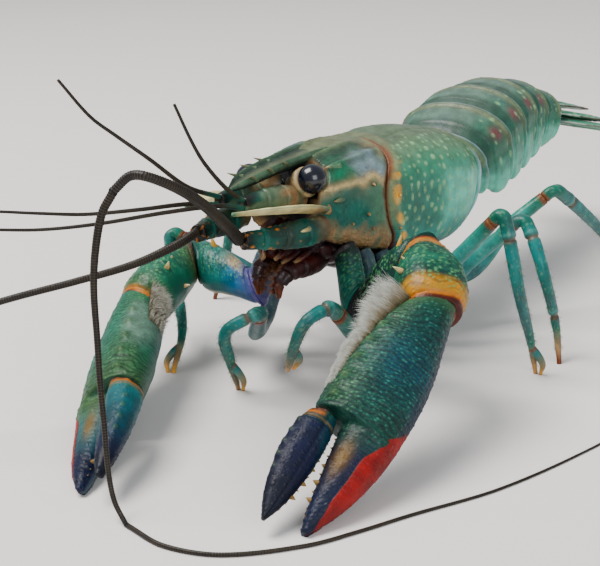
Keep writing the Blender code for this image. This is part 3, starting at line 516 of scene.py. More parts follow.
# %% The trunk's measures
PITCH = math.radians(8.4)
AXIS_HEIGHT = 29.1
TRUNK_Y = (-50.0, -45.5, -40.0, -32.0, -24.0, -19.5, -14.0, -6.0, 1.0, 4.0)
TRUNK_HALF_WIDTH = (7.0, 8.3, 9.6, 11.4, 12.4, 12.6, 13.4, 13.6, 12.4, 11.6)
TRUNK_TOP = (4.2, 5.2, 6.6, 7.9, 8.3, 8.9, 9.7, 9.4, 8.5, 8.2)
TRUNK_BOTTOM = (8.0, 9.6, 11.6, 13.6, 14.8, 15.2, 15.6, 14.8, 11.6, 10.4)
GROOVE_PHI = (0.0, 0.5, 0.9, 1.3, 1.55, 1.8, 2.15, 2.6, 3.1416)
GROOVE_Y = (-24.5, -26.2, -28.2, -30.4, -31.0, -29.8, -26.4, -24.2, -23.4)
BELLY_HOLLOW, CARAPACE_REAR, POCKET_Y = 2.2, 0.8, -5.6
ORBIT_Y, FACE_Y = -43.0, -47.2
ARC = 12.6


def pitched(x, y, g):
    """From the body axis (y along it, g above it) to the room: a turn by the pitch angle."""
    c, s = math.cos(PITCH), math.sin(PITCH)
    return np.stack(np.broadcast_arrays(x, y * c + g * s, AXIS_HEIGHT - y * s + g * c), axis=-1)


def trunk(y, phi, lift=0.0):
    """The shell at y along the axis and phi round it, from 0 on the back to pi on the belly."""
    shape = np.shape(y + phi)
    y, phi = np.broadcast_to(y, shape), np.broadcast_to(phi, shape)
    w = smooth(TRUNK_Y, TRUNK_HALF_WIDTH, y) + lift
    top = smooth(TRUNK_Y, TRUNK_TOP, y) + lift
    low = smooth(TRUNK_Y, TRUNK_BOTTOM, y) + lift
    c, s = np.cos(phi), np.sin(phi)
    power = np.where(c > 0, 2 / 2.15, 2 / 3.0)
    x = w * np.sign(s) * np.abs(s) ** power
    g = np.where(c > 0, top, low) * np.sign(c) * np.abs(c) ** power
    g = g + np.where(c > 0, 0.0, BELLY_HOLLOW * (1 - (x / w) ** 2) ** 2)
    return pitched(x, y, g)


def side_angle(phi):
    """The angle from the back's midline, 0 to pi on either side."""
    return np.arccos(np.cos(phi))


def groove(phi):
    """Where the neck groove crosses each angle."""
    return smooth(GROOVE_PHI, GROOVE_Y, side_angle(phi))


def rear_edge(phi):
    """The hind rim bows back over the flanks and forward under the belly."""
    return CARAPACE_REAR + 2.6 * np.sin(phi) ** 2 - 5.4 * np.clip(-np.cos(phi), 0, 1) ** 1.5


def face_edge(phi):
    """The front rim hugs the eye: it runs forward below it and stays there along the cheek."""
    return smooth((0, 0.75, 1.0, 1.33, 1.54, 1.8, math.pi), (-43.2, -43.2, -43.9, -45.2, -47.0,
                                                             -47.4, FACE_Y), side_angle(phi))


print("shell is", round(2 * max(TRUNK_HALF_WIDTH), 1), "mm wide")

# %% [markdown]
# ## Hind shell
# The flanks of a red-claw are sage green on the back and mint low and behind, with pale oval
# flecks that are slightly raised. The shell is smooth but pitted, with a rolled hind rim and a
# pair of faint lines along the back. Its front edge dips into the neck groove.

# %% Hind shell


def hind_shell():
    """Rows run from the neck groove to the hind rim, columns round the body. Relief is a sum of
    bell curves: the dip at the groove, the rolled rim, two lines on the back, raised flecks."""
    columns, rows = 300, 130
    phi = turns(columns)
    front, back = groove(phi) + 0.16, rear_edge(phi)
    t = np.linspace(0, 1, rows)[:, None]
    y = front * (1 - t) + back * t
    points = trunk(y, phi)
    from_front, from_back = y - front, back - y
    angle = side_angle(phi) + 0 * y
    rough = grain(points, 5.0, 3)
    fleck, _ = dots(y + 0.4 * rough, way_round(points), 2.1, 5, 0.25, 0.09, 0.14)
    fleck = fleck * step_up(angle, 0.25, 0.7) * fall(angle, 2.1, 2.45)
    fleck = fleck * step_up(from_back, 1.6, 2.6) * step_up(from_front, 1.2, 2.4)
    height = (-0.6 * bump_at(from_front, -0.1, 0.9) + 0.22 * bump_at(from_front, 1.9, 0.9)
              - 0.4 * bump_at(from_back, 1.9, 0.5) + 0.16 * bump_at(from_back, 0.7, 0.7)
              - 0.2 * bump_at(angle, 0.30, 0.03) * step_up(from_front, 0, 3)
              + 0.10 * fleck + 0.05 * grain(points, 1.1, 9) + 0.12 * rough)
    points = swell(points, height)
    blur = angle + 0.10 * rough + 0.05 * grain(points, 1.7, 4)
    tone = tone_of("olive", points)
    knobs, _ = dots(angle * ARC, from_front * 0.8, 3.6, 8, 0.36, 0, 0.16, jitter=0.2)
    tone = coats(tone, [
        ("sage", step_up(blur, 0.35, 0.85)),
        ("leaf", step_up(blur, 0.75, 1.3)),
        ("mint", step_up(blur, 1.1, 1.7) * step_up(y + 4 * rough, -21, -10)),
        ("lagoon", step_up(blur, 1.7, 2.1) * 0.8),
        ("teal", 0.75 * bump_at(blur, 1.75, 0.35) * step_up(-y, 10.5, 17)
            * step_up(from_front, 2, 4)),
        ("flank", step_up(blur, 2.18, 2.5)),
        ("belly", step_up(blur, 2.5, 2.8)),
        ("tan", 0.6 * bump_at(from_front, 1.4, 1.5) * fall(blur, 1.6, 2.2)
            * (0.35 + 0.65 * step_up(blur, 0.7, 1.3))),
        ("rust", 0.8 * bump_at(from_front, 0.5, 0.6) * step_up(blur, 0.3, 0.7)
            * fall(blur, 1.2, 1.7)),
        ("peach", knobs * bump_at(from_front, 2.4, 1.3) * step_up(blur, 0.9, 1.3)),
        ("rust", 0.8 * fall(from_front, 0.1, 0.7)),
        ("spot", 0.75 * fleck),
        ("rim", 0.9 * fall(from_back, 0.9, 1.5) * step_up(blur, 0.7, 1.5)),
        ("khaki", 0.7 * fall(from_back, 0.9, 1.5) * fall(blur, 0.5, 1.1)),
        # Painted shade: a near-black line in the groove in front of the rolled hind rim.
        ("blackish_and_shade", 0.5 * bump_at(from_back, 1.9, 0.35))])
    # Painted shade: the ring that closes the opening at the neck groove and the floor deep inside the
    # hind opening take the dark belly paint.
    floor = pull_in(points[-1], 0.90)
    floor[:, 1] = POCKET_Y
    dark = tone_of("belly", points[:1])
    points = np.concatenate([pull_in(points[0], 0.93)[None], points,
                             pull_in(points[-1], 0.93)[None], floor[None]])
    tone = np.concatenate([dark, tone, tone[-1:], dark])
    finish_piece("hind_shell", [patch(points, tone)], shell_finish("hind_shell_finish"),
                 ["thorax"])


def pull_in(ring, share):
    """The ring shrunk to `share` of its size about its own middle."""
    middle = ring.mean(axis=0)
    return middle + (ring - middle) * share


hind_shell()

# %% [markdown]
# ## Limbs, thorns and colour ramps
# Most of a crayfish is tubes: a limb is a row of rings set square to a curved path. Two ends of
# neighbouring segments are cut by the plane that halves the bend between them, as a joiner
# mitres two boards. A thorn is a short tube that narrows to a point.

# %% Limb tools
GAP = 0.32


def ramp(t, *stops):
    """The colour at t between (position, paint name) stops, each channel read on straight lines."""
    keys = [key for key, name in stops]
    values = np.array([PAINTS[name] for key, name in stops])
    return np.stack([np.interp(t, keys, values[:, i]) for i in range(3)], axis=-1)


def tube(path, wide, deep, across, sides, power=2.0):
    """Rings square to a path: x = wide |cos|^(2/power), y = deep |sin|^(2/power), with signs.
    `across` is the way of x as far as the path lets it be."""
    path = np.asarray(path, float)
    way = unit(np.gradient(path, axis=0))
    across = np.broadcast_to(np.asarray(across, float), path.shape)
    side = unit(across - way * (across * way).sum(axis=1, keepdims=True))
    up = np.cross(way, side)
    angle = turns(sides)
    c, s = np.cos(angle), np.sin(angle)
    c, s = (np.sign(a) * np.abs(a) ** (2 / power) for a in (c, s))
    wide, deep = (np.broadcast_to(np.asarray(a, float), len(path))[:, None] for a in (wide, deep))
    return (path[:, None] + side[:, None] * (wide * c)[..., None]
            + up[:, None] * (deep * s)[..., None])


def mitre(rings, first=None, last=None, power=2):
    """Slides the rings near an end along the limb until that end lies in a (point, normal)
    plane: slide = ((point - p) . normal) / (way . normal), fading inwards as t to a power."""
    rings = np.array(rings)
    t = np.linspace(0, 1, len(rings))
    for plane, end, way, fade in ((first, 0, rings[1] - rings[0], (1 - t) ** power),
                                  (last, -1, rings[-1] - rings[-2], t ** power)):
        if plane is not None:
            point, normal = plane
            way = unit(way.mean(axis=0))
            slide = ((point - rings[end]) @ normal) / (way @ normal)
            rings += fade[:, None, None] * slide[None, :, None] * way
    return rings


def limb(points, widths, depths, across, count, sides, power=2.2, first=None, last=None, ease=1.0):
    """Rings along a route through `points`; half-sizes are read along its length."""
    t = np.linspace(0, 1, count) ** ease
    wide = smooth(np.linspace(0, 1, len(widths)), widths, t)
    deep = smooth(np.linspace(0, 1, len(depths)), depths, t)
    rings = tube(route(points, count, ease), wide, deep, across, sides, power)
    return mitre(rings, first, last)


def capped(rings, tone, first=0.0, last=0.0, flat=0.0):
    """A patch whose ends are closed by rings that shrink towards the end's middle and bulge out
    by `first` or `last` mm, as a quarter circle: share = cos a, bulge = sin a. Points within
    `flat` mm of the floor are laid on it."""
    a = np.linspace(0, math.pi / 2, 6)[1:-1][:, None, None]
    head, foot = (rings[end].mean(axis=0) + (rings[end] - rings[end].mean(axis=0)) * np.cos(a)
                  + unit((rings[end] - rings[end + step]).mean(axis=0)) * bulge * np.sin(a)
                  for end, step, bulge in ((0, 1, first), (-1, -1, last)))
    rings = np.concatenate([head[::-1], rings, foot])
    tone = np.concatenate([tone[:1]] * 4 + [tone] + [tone[-1:]] * 4)
    return patch(flat_foot(rings, flat) if flat else rings, tone)


def thorn(root, tip, radius, stops, bend=(0, 0, 0), sides=14, rows=14):
    """A thorn whose radius falls as (1 - t)^0.8 from a flared foot; `bend` moves its middle."""
    root, tip, bend = (np.asarray(a, float) for a in (root, tip, bend))
    t = np.linspace(0, 0.97, rows)
    path = root + (tip - root) * t[:, None] + bend * (4 * t * (1 - t))[:, None]
    r = radius * ((1 - t) ** 0.8 + 0.35 * np.exp(-t * 9))
    along = unit(tip - root)
    across = (0, 0, 1) if abs(along[2]) < 0.8 else (1, 0, 0)
    rings = tube(path, r, r, across, sides)
    tone = np.broadcast_to(ramp(t, *stops)[:, None], rings.shape)
    return patch(rings, tone, last=tip)


def ball(centre, radii, stops):
    """An ellipsoid with its poles up and down; its tone is a ramp from top to bottom."""
    a, b = np.linspace(0, math.pi, 26)[1:-1][:, None], turns(32)
    centre, radii = np.array(centre), np.array(radii)
    rings = centre + radii * np.stack(
        np.broadcast_arrays(np.sin(a) * np.cos(b), np.sin(a) * np.sin(b), np.cos(a)), axis=-1)
    tone = ramp(np.broadcast_to((1 - np.cos(a)) / 2, rings.shape[:2]), *stops)
    poles = [centre + radii * (0, 0, s) for s in (1, -1)]
    return patch(rings, tone, *poles)


print("a ramp at half way", np.round(ramp(0.5, (0, "olive"), (1, "mint")), 3))

# %% [markdown]
# ## Head shield
# Four keels give this species its name: two run back from the rostrum and two stand behind the
# eyes, each of these with a sharp spine. The shield is dark olive above with darker stripes
# beside the keels, emerald and lilac behind the eye, teal and tan on the cheek.

# %% Head shield
RIDGE_Y, RIDGE_PHI = (-43.5, -38.0, -33.0, -28.5), (0.82, 0.76, 0.70, 0.66)


def spot_at(y, angle, where, size):
    """A soft round patch: a bell curve of the distance in mm from (y, angle)."""
    return np.exp(-(((y - where[0]) ** 2 + ((angle - where[1]) * ARC) ** 2) / size ** 2) ** 1.5)


def head_shield():
    """Rows run from the face to the neck groove. Relief: two keels, two ridges behind the eyes,
    the rolled rim of the orbit, cheek furrows, fine knobs and the dip into the groove."""
    columns, rows = 320, 140
    phi = turns(columns)
    signed = np.where(phi > math.pi, phi - 2 * math.pi, phi)
    front, back = face_edge(phi), groove(phi) - 0.16
    t = np.linspace(0, 1, rows)[:, None]
    y = front * (1 - t) + back * t
    points = trunk(y, phi)
    to_groove, from_face = back - y, y - front
    angle = side_angle(phi) + 0 * y
    rough = grain(points, 5.0, 13)
    ridge = (angle - smooth(RIDGE_Y, RIDGE_PHI, y)) * ARC
    ridge_on = step_up(y, -46, -42.5) * step_up(-y, 26.5, 33)
    keel_x = smooth((-43, -36, -30, -25), (2.9, 3.3, 3.0, 2.4), y)
    keel = np.abs(points[..., 0]) - keel_x
    keel_on = step_up(-y, 25.5, 36) * fall(angle, 0.7, 1.0)
    furrow = angle - 1.62 - 0.035 * (y + 31) + 0.004 * (y + 31) ** 2
    furrow_on = step_up(y, -41, -37) * step_up(-y, 30, 33)
    beads, _ = dots(y + 0.3 * rough, signed * ARC, 1.35, 21, 0.30, 0.08)
    height = (0.6 * bump_at(ridge, 0, 1.0) * ridge_on - 0.2 * bump_at(ridge, -2.4, 1.0) * ridge_on
              + 0.5 * bump_at(keel, 0, 0.75) * keel_on
              - 0.3 * step_up(-keel, 0.5, 1.5) * step_up(-y, 30, 40)
              + 0.1 * bump_at(from_face, 0.6, 0.6) * step_up(angle, 0.6, 0.9)
              - 0.22 * bump_at(furrow * ARC, 0, 0.5) * furrow_on
              - 0.6 * bump_at(to_groove, -0.1, 0.9) + 0.16 * bump_at(to_groove, 1.9, 0.9)
              + 0.10 * beads * step_up(angle, 1.5, 1.9) + 0.05 * beads
              + 0.05 * grain(points, 1.1, 19) + 0.10 * rough)
    points = swell(points, height)
    blur = angle + 0.08 * rough + 0.04 * grain(points, 1.6, 14)
    tone = tone_of("olive", points)
    loose = blur + 0.16 * grain(points, 2.6, 15)
    band = (loose - smooth((-46, -39, -32), (1.50, 1.34, 1.24), y)) * ARC
    tone = coats(tone, [
        ("deep olive", 0.6 * step_up(-y + 5 * rough, 27, 35)),
        ("emerald", 0.5 * step_up(-y + 6 * rough, 33, 40)
            * step_up(grain(points, 4.0, 17), -0.3, 0.4)),
        ("clay", 0.55 * spot_at(y, blur, (-26.5, 0.55), 4.5)),
        ("khaki", 0.7 * fall(blur, 0.2, 0.55) * step_up(-y, 22, 34)),
        ("deep olive", 0.75 * bump_at(keel, 1.3, 0.8) * keel_on),
        ("deep olive", 0.8 * bump_at(ridge, -1.3, 0.8) * ridge_on),
        ("sage", 0.6 * bump_at(ridge, 0.1, 0.5) * ridge_on),
        ("lilac grey", 0.9 * spot_at(y, loose, (-34.6, 0.96), 4.0)),
        ("lilac grey", 0.5 * spot_at(y, loose, (-30.5, 1.12), 2.6)),
        ("emerald", 0.95 * spot_at(y, loose, (-41.6, 1.10), 3.6)),
        ("teal", step_up(loose, 1.3, 1.5) * step_up(-y, 29, 34)),
        ("sage", 0.6 * step_up(loose, 1.2, 1.45) * fall(to_groove, 3, 6)),
        ("clay", step_up(loose, 1.85, 2.15)),
        ("olive", 0.7 * step_up(loose, 1.9, 2.1) * step_up(grain(points, 2.0, 16), 0.1, 0.5)),
        ("beige", 0.9 * bump_at(band, 0, 1.9)),
        ("cream", 0.7 * bump_at(band, 0.1, 0.8) * step_up(-y, 31, 36)),
        ("rust", 0.7 * fall(to_groove, 0.5, 1.3) * step_up(0.5 * rough + blur, 0.4, 1.2)),
        ("maroon", 0.7 * fall(to_groove, 0.1, 0.4)),
        ("fleck", 0.1 * beads * step_up(blur, 1.2, 1.7)),
        ("belly", step_up(loose, 2.4, 2.7)),
        ("clay", 0.5 * fall(from_face, 0.1, 0.6) * step_up(blur, 1.25, 1.45)
            * fall(blur, 1.7, 1.9))])
    rim, lip = pull_in(points[0], 0.96), pull_in(points[0], 0.90)
    face = pull_in(lip, 0.75)
    face[:, 1] = np.where(face[:, 2] > face[:, 2].mean(), ORBIT_Y - 0.2, face[:, 1])
    neck = pull_in(points[-1], 0.93)
    # Painted shade: the face plate inside the front opening and the neck cap are near black, and the
    # lip inside the rim is clay dimmed to 0.6.
    dark, shaded_clay = tone_of("blackish_and_shade", points[:1]), tone_of("clay", points[:1]) * 0.6
    points = np.concatenate([face[None], lip[None], rim[None], points, neck[None]])
    tone = np.concatenate([dark, shaded_clay, tone[:1], tone, dark])
    finish_piece("head_shield", [patch(points, tone)], shell_finish("head_shield_finish"),
                 ["head"])


head_shield()

# %% [markdown]
# ## Rostrum and spines
# The rostrum is a hollow-topped beak between the eyes. Its two raised edges carry three pairs of
# teeth, and more spines stand on the ridges, the cheeks and behind the neck groove.

# %% Rostrum and spines
ROSTRUM_Y = (-32.6, -40.0, -46.0, -51.0, -56.0, -60.0, -62.9)
ROSTRUM_TOP = (6.9, 6.55, 5.6, 4.7, 3.5, 2.3, 1.2)
ROSTRUM_HALF_WIDTH = (4.2, 3.4, 2.9, 2.7, 2.4, 1.7, 0.35)
ROSTRUM_DEPTH = (3.2, 2.8, 2.3, 2.2, 2.0, 1.5, 0.7)
ROSTRUM_SPINE_Y = (-50.5, -54.5, -58.5)


def rostrum():
    """Its outline is ten corners given as shares of the width and depth, read round the section
    and rounded by averaging neighbours, then stretched along y by the measured sizes."""
    y = np.linspace(-32.6, -62.9, 150)
    top, half, deep = (smooth(ROSTRUM_Y, values, y)[:, None]
                       for values in (ROSTRUM_TOP, ROSTRUM_HALF_WIDTH, ROSTRUM_DEPTH))
    keel = np.minimum(0.6, half * 0.4)
    corner = np.arange(11)
    across = (0, 0.62, 0.84, 1.0, 0.62, 0, -0.62, -1.0, -0.84, -0.62, 0)
    lift = (-0.5, -0.35, 1.0, -0.4, 0, 0, 0, -0.4, 1.0, -0.35, -0.5)
    sink = (0, 0, 0, 0, -0.75, -1.0, -0.75, 0, 0, 0, 0)
    k = np.arange(120) / 12
    x, up, down = (np.interp(k, corner, values) for values in (across, lift, sink))
    for _ in range(3):
        x, up, down = ((np.roll(a, 1) + 2 * a + np.roll(a, -1)) / 4 for a in (x, up, down))
    points = pitched(half * x, y[:, None] + 0 * x, top + keel * up + deep * down)
    points = swell(points, 0.05 * grain(points, 1.2, 31) + 0.03 * grain(points, 0.5, 32))
    edge = bump_at(np.abs(x), 0.86, 0.14) * (down > -0.3)
    tone = tone_of("deep olive", points)
    tone = coats(tone, [
        ("khaki", 0.5 * bump_at(x, 0, 0.35) * (down > -0.3) + 0 * y[:, None]),
        ("sage", 0.55 * edge + 0 * y[:, None]),
        # Painted shade: the underside of the beak is near black.
        ("blackish_and_shade", step_up(-down, 0.2, 0.9) + 0 * y[:, None])])
    return patch(points, tone)


def head_spines():
    """Paired thorns: rostral teeth, the ridges' ends, cheeks and the side of the groove."""
    tooth = ((0, "olive"), (0.6, "khaki"), (1, "tan"))
    patches = []
    for side in (1, -1):
        for y in ROSTRUM_SPINE_Y:
            w = smooth(ROSTRUM_Y, ROSTRUM_HALF_WIDTH, y)
            top = smooth(ROSTRUM_Y, ROSTRUM_TOP, y)
            patches.append(thorn(pitched(side * w * 0.72, y + 1.0, top - 0.2),
                                 pitched(side * (w + 0.6), y - 2.0, top + 0.65), 0.45, tooth))
        end = trunk(-42.5, side * 0.82, 0.15)
        patches.append(thorn(end + (0, 1.6, -0.3), end + (0.15 * side, -2.4, 0.4), 0.7,
                             ((0, "sage"), (0.6, "sage"), (1, "cream"))))
        root = trunk(-44.6, side * 1.47, -0.5)
        patches.append(thorn(root, root + (0.5 * side, -2.6, 0.3), 0.6,
                             ((0, "beige"), (0.4, "cream"), (1, "ivory"))))
        root = trunk(-41.5, side * 1.62, -0.8)
        patches.append(thorn(root, root + (0.8 * side, -3.6, 0.5), 0.75,
                             ((0, "teal"), (0.7, "khaki"), (1, "clay")), (0.3 * side, 0, 0)))
        for y, lean, tip in ((-34.5, 1.45, (1.5, -1.4, 0.2)), (-35.2, 1.78, (1.5, -1.4, 0.2)),
                             (-33.2, 2.0, (0.9, -0.9, 0)), (-38.4, 1.95, (0.8, -0.9, 0))):
            root = trunk(y, side * lean, -0.45)
            patches.append(thorn(root, root + np.array(tip) * (side, 1, 1), 0.5,
                                 ((0, "teal"), (0.5, "clay"), (1, "beige"))))
    return patches


finish_piece("rostrum", [rostrum()] + head_spines(), shell_finish("rostrum_finish"),
             ["head"])


def hind_spines():
    """Three peach-coloured thorns on each flank, just behind the neck groove."""
    patches = []
    for side in (1, -1):
        for y, lean in ((-27.4, 1.60), (-25.8, 1.98), (-23.4, 2.2)):
            root = trunk(y, side * lean, -0.4)
            patches.append(thorn(root, root + (1.3 * side, -1.3, 0.1), 0.5,
                                 ((0, "tan"), (0.4, "peach"), (1, "cream"))))
    return patches


finish_piece("hind_spines", hind_spines(), shell_finish("hind_spine_finish"),
             ["thorax"])

# %% [markdown]
# ## Eyes, scales and the feelers' bases
# The eyes are nearly black balls on short stalks. An ivory scale stands outside each eye, and
# below it lie the stout segments that carry the long antenna.

# %% Eyes and stalks
EYE_RIGHT, EYE_RADIUS, STALK_ROOT = np.array((-5.3, -49.6, 37.9)), 2.6, np.array((1.7, -46.1, 36.2))


def glossy_finish(name):
    """Tone alone under a clear coat, for the eyes."""
    f = Finish(name)
    f.set(Base_Color=f.tone(), Roughness=0.22, Coat_Weight=0.3,
          Coat_Roughness=0.12)
    return f.material


def eye(word, centre, side):
    """A ball with a purple-grey rim where it meets the stalk; the ramp runs along the stalk."""
    root = STALK_ROOT * (side, 1, 1)
    way = unit(centre - root)
    a = np.linspace(0.03, math.pi - 0.03, 64)
    path = centre - way * (EYE_RADIUS * np.cos(a))[:, None]
    rings = tube(path, EYE_RADIUS * np.sin(a), EYE_RADIUS * np.sin(a), (0, 0, 1), 96)
    tone = ramp(np.broadcast_to(a[:, None] / math.pi, rings.shape[:2]),
                (0, "clay"), (0.14, "clay"), (0.2, "lilac grey"), (0.28, "indigo"),
                (0.5, "night"), (1, "night"))
    ends = centre - way * EYE_RADIUS, centre + way * EYE_RADIUS
    finish_piece(f"eye_{word}_ball", [patch(rings, tone, *ends)],
                 glossy_finish("eye_finish_" + word), ["eye_" + word])
    end = centre - way * 1.25
    t = np.linspace(0, 1, 60)
    path = root + (end - root) * t[:, None]
    r = smooth((0, 0.3, 0.7, 0.9, 1), (2.1, 2.2, 2.7, 2.75, 2.4), t)
    rings = tube(path, r, r, (0, 0, 1), 80)
    rings = swell(rings, 0.06 * grain(rings, 0.8, 41))
    tone = ramp(down_rows(rings), (0, "deep olive"), (0.4, "clay"), (0.75, "beige"), (1, "beige"))
    tone = coats(tone, [("olive", 0.6 * step_up(grain(rings, 1.3, 42), 0.1, 0.5))])
    finish_piece(f"eyestalk_{word}_skin", [patch(rings, tone)],
                 shell_finish("stalk_finish_" + word), ["eyestalk_" + word])


eye("left", EYE_CENTRE, 1)
eye("right", EYE_RIGHT, -1)

# %% Scales and bases


def joined(t, cuts, depth=0.35, width=0.012):
    """The relief of a limb's joints: a groove at each cut with a slight swelling beside it."""
    return sum(depth * (0.3 * bump_at(t, cut - 3 * width, 2 * width) - bump_at(t, cut, width))
               for cut in cuts)


def feeler_bases(word, side):
    """The ivory scale with its green edge, the antenna's stout base and the antennule's base."""
    flip = np.array([side, 1, 1])
    path = np.array([(9.0, -47.2, 33.35), (8.6, -54.0, 35.1), (6.9, -61.0, 36.2),
                     (5.0, -67.4, 37.0)]) * flip
    rings = limb(path, (1.2, 2.0, 1.8, 0.45), (0.62, 0.55, 0.45, 0.25), (-side * 0.9, -0.2, -0.35),
                 70, 64, 2.0)
    t = down_rows(rings)
    around = np.cos(turns(64))
    rings = swell(rings, 0.12 * bump_at(around, 0.2, 0.2) + 0.03 * grain(rings, 0.9, 43))
    tone = ramp(t, (0, "olive"), (0.14, "clay"), (0.24, "cream"), (0.7, "ivory"), (0.93, "cream"),
                (1, "sage"))
    tone = coats(tone, [("sage", 0.5 * step_up(np.abs(around), 0.86, 1.0) + 0 * t)])
    finish_piece(f"scale_{word}_blade", [capped(rings, tone, 0.15, 0.3)],
                 shell_finish("scale_finish_" + word, rough=0.5, pore_dark=0.9),
                 ["scale_" + word])
    base = np.array([(9.0, -48.1, 30.4), (8.2, -54.0, 30.6), (6.6, -60.0, 31.2),
                     (4.9, -65.0, 31.8)]) * flip
    rings = limb(base, (2.2, 2.4, 1.9, 1.5), (2.2, 2.3, 1.8, 1.4), (0, 0, 1), 90, 60)
    t = down_rows(rings)
    knob, luck = dots(t * 17, np.arange(60) * 14 / 60, 1.5, 44, 0.25, 0.1)
    rings = swell(rings, joined(t, (0.30, 0.56, 0.80)) + 0.12 * knob + 0.05 * grain(rings, 1, 45))
    tone = ramp(t, (0, "clay"), (0.25, "teal"), (0.55, "deep olive"), (0.8, "teal"), (1, "bark"))
    tone = coats(tone, [
        ("blackish_and_shade", 0.55 * step_up(grain(rings, 2.5, 46), 0.0, 0.5)),
        ("orange", 0.8 * knob * step_up(luck, 0.35, 0.6) * step_up(t, 0.5, 0.7)),
        ("peach", 0.6 * knob * step_up(-luck, 0.5, 0.8))])
    stem = np.array([(2.7, -45.8, 34.4), (3.0, -52.0, 35.6), (2.9, -57.0, 36.5),
                     (2.6, -61.6, 37.0)]) * flip
    inner = limb(stem, (2.2, 2.5, 2.1, 1.2), (2.0, 2.2, 1.8, 1.1), (0, 0, 1), 90, 60)
    t = down_rows(inner)
    inner = swell(inner, joined(t, (0.42, 0.72), 0.3) + 0.06 * grain(inner, 1.0, 47))
    dull = ramp(t, (0, "clay"), (0.4, "clay"), (0.6, "olive"), (0.8, "teal"), (1, "bark"))
    dull = coats(dull, [
        ("olive", 0.8 * step_up(grain(inner, 1.8, 48), -0.1, 0.4)),
        ("belly", 0.6 * step_up(grain(inner, 2.6, 49), 0.1, 0.6))])
    knob_root = trunk(-45.2, side * 1.75, -0.5)
    thorns = [thorn(knob_root, knob_root + (0.3 * side, -3.6, 0.1), 0.9,
                    ((0, "clay"), (0.5, "cream"), (1, "ivory"))),
              thorn(base[1] + (1.6 * side, 1.2, 0.9), base[1] + (2.3 * side, -2.6, 1.4), 0.6,
                    ((0, "teal"), (0.6, "cream"), (1, "ivory")))]
    finish_piece(f"antenna_base_{word}_skin",
                 [capped(rings, tone, 0.5, 0.4)] + thorns,
                 shell_finish("base_finish_" + word), ["antenna_base_" + word])
    finish_piece(f"antennule_base_{word}_skin", [capped(inner, dull, 0.3, 0.3)],
                 shell_finish("stem_finish_" + word), ["antennule_base_" + word])


feeler_bases("left", 1)
feeler_bases("right", -1)

# %% [markdown]
# ## Feelers
# Each whip is made of hundreds of short rings. The long antennae bend, run to the floor and end
# there; the two pairs of antennules stay raised and tested the water when the photo was taken.

# %% Feelers
ANTENNA_LEFT = (
    ((4.6, -66.0, 32.4), (7.2, -72.5, 37.0), (9.6, -80.0, 42.2), (10.6, -87.0, 46.6),
     (8.6, -91.4, 49.2), (5.6, -91.8, 49.0), (3.4, -93.2, 46.8)),
    ((3.3, -93.4, 46.4), (2.4, -95.0, 43.6), (2.2, -96.8, 38.3), (2.9, -98.5, 33.1),
     (4.4, -100.2, 26.2), (5.8, -101.8, 19.8), (7.3, -103.2, 13.6), (8.6, -104.5, 7.6),
     (10.4, -105.6, 3.2), (13.4, -106.5, 0.3)),
    ((14.1, -106.7, 0.0), (22.4, -108.4, 0.0), (31.0, -106.0, 0.0), (39.5, -97.6, 0.0),
     (43.6, -90.0, 0.0), (47.2, -82.0, 0.0), (54.3, -67.4, 0.0), (59.9, -46.9, 0.0),
     (61.6, -34.0, 0.0)))
ANTENNA_RIGHT = (
    ((-4.6, -65.7, 32.2), (-5.4, -70.2, 31.0), (-8.9, -77.0, 29.0), (-14.6, -85.0, 27.4),
     (-20.6, -91.6, 25.9), (-26.4, -97.4, 24.2)),
    ((-26.7, -97.7, 24.1), (-34.0, -104.0, 21.4), (-43.0, -110.0, 17.4), (-53.0, -114.0, 12.4),
     (-64.0, -115.6, 7.2), (-75.0, -114.6, 3.0), (-84.0, -112.4, 0.6), (-93.0, -109.0, 0.0),
     (-102.0, -105.0, 0.0)))
ANTENNULES = {
    "antennule_left_upper": ((2.6, -61.75, 37.72), (4.8, -69.0, 42.0), (4.4, -73.3, 46.9),
                             (3.5, -75.0, 50.7), (1.9, -76.5, 56.4)),
    "antennule_left_lower": ((2.7, -62.1, 36.45), (3.2, -69.0, 38.6), (-0.6, -77.5, 39.1),
                             (-6.2, -87.1, 38.9), (-12.0, -94.0, 38.9), (-17.0, -101.0, 40.0)),
    "antennule_right_upper": ((-2.6, -61.75, 37.72), (-2.0, -70.5, 41.6), (-2.8, -78.2, 47.8),
                              (-6.2, -81.7, 51.9), (-8.5, -84.7, 55.3), (-10.4, -88.8, 61.4)),
    "antennule_right_lower": ((-2.7, -62.1, 36.45), (-3.8, -69.0, 38.0), (-7.0, -77.0, 38.6),
                              (-12.0, -84.0, 38.9), (-16.0, -90.0, 40.0), (-20.0, -94.6, 40.9))}


def whip(name, points, thick, stops, ring=0.42):
    """A tapering tube whose radius swells once in every `ring` mm of its length."""
    rough_path = route(points, 200)
    length = np.linalg.norm(np.diff(rough_path, axis=0), axis=1).sum()
    count = int(length / ring * 4)
    t = np.linspace(0, 1, count)
    path = route(points, count)
    r = smooth(np.linspace(0, 1, len(thick)), thick, t) / 2
    path[0] -= unit(path[1] - path[0]) * 0.3
    path[-1] += unit(path[-1] - path[-2]) * 0.3
    path[:, 2] = np.maximum(path[:, 2], r)
    beat = np.cos(2 * math.pi * t * length / ring)
    r = r * (0.97 + 0.05 * beat)
    rings = tube(path, r, r, (0.31, -0.2, 0.93), 14)
    tone = np.broadcast_to(ramp(t, *stops)[:, None], rings.shape)
    pale = np.broadcast_to((0.16 * step_up(-beat, 0.35, 0.9))[:, None], rings.shape[:2])
    tone = coats(tone, [("tan", pale)])
    finish_piece(name + "_whip", [patch(rings, tone, u=t * length / 10)],
                 shell_finish(name + "_finish", rough=0.45, pore_dark=0.9),
                 [name])


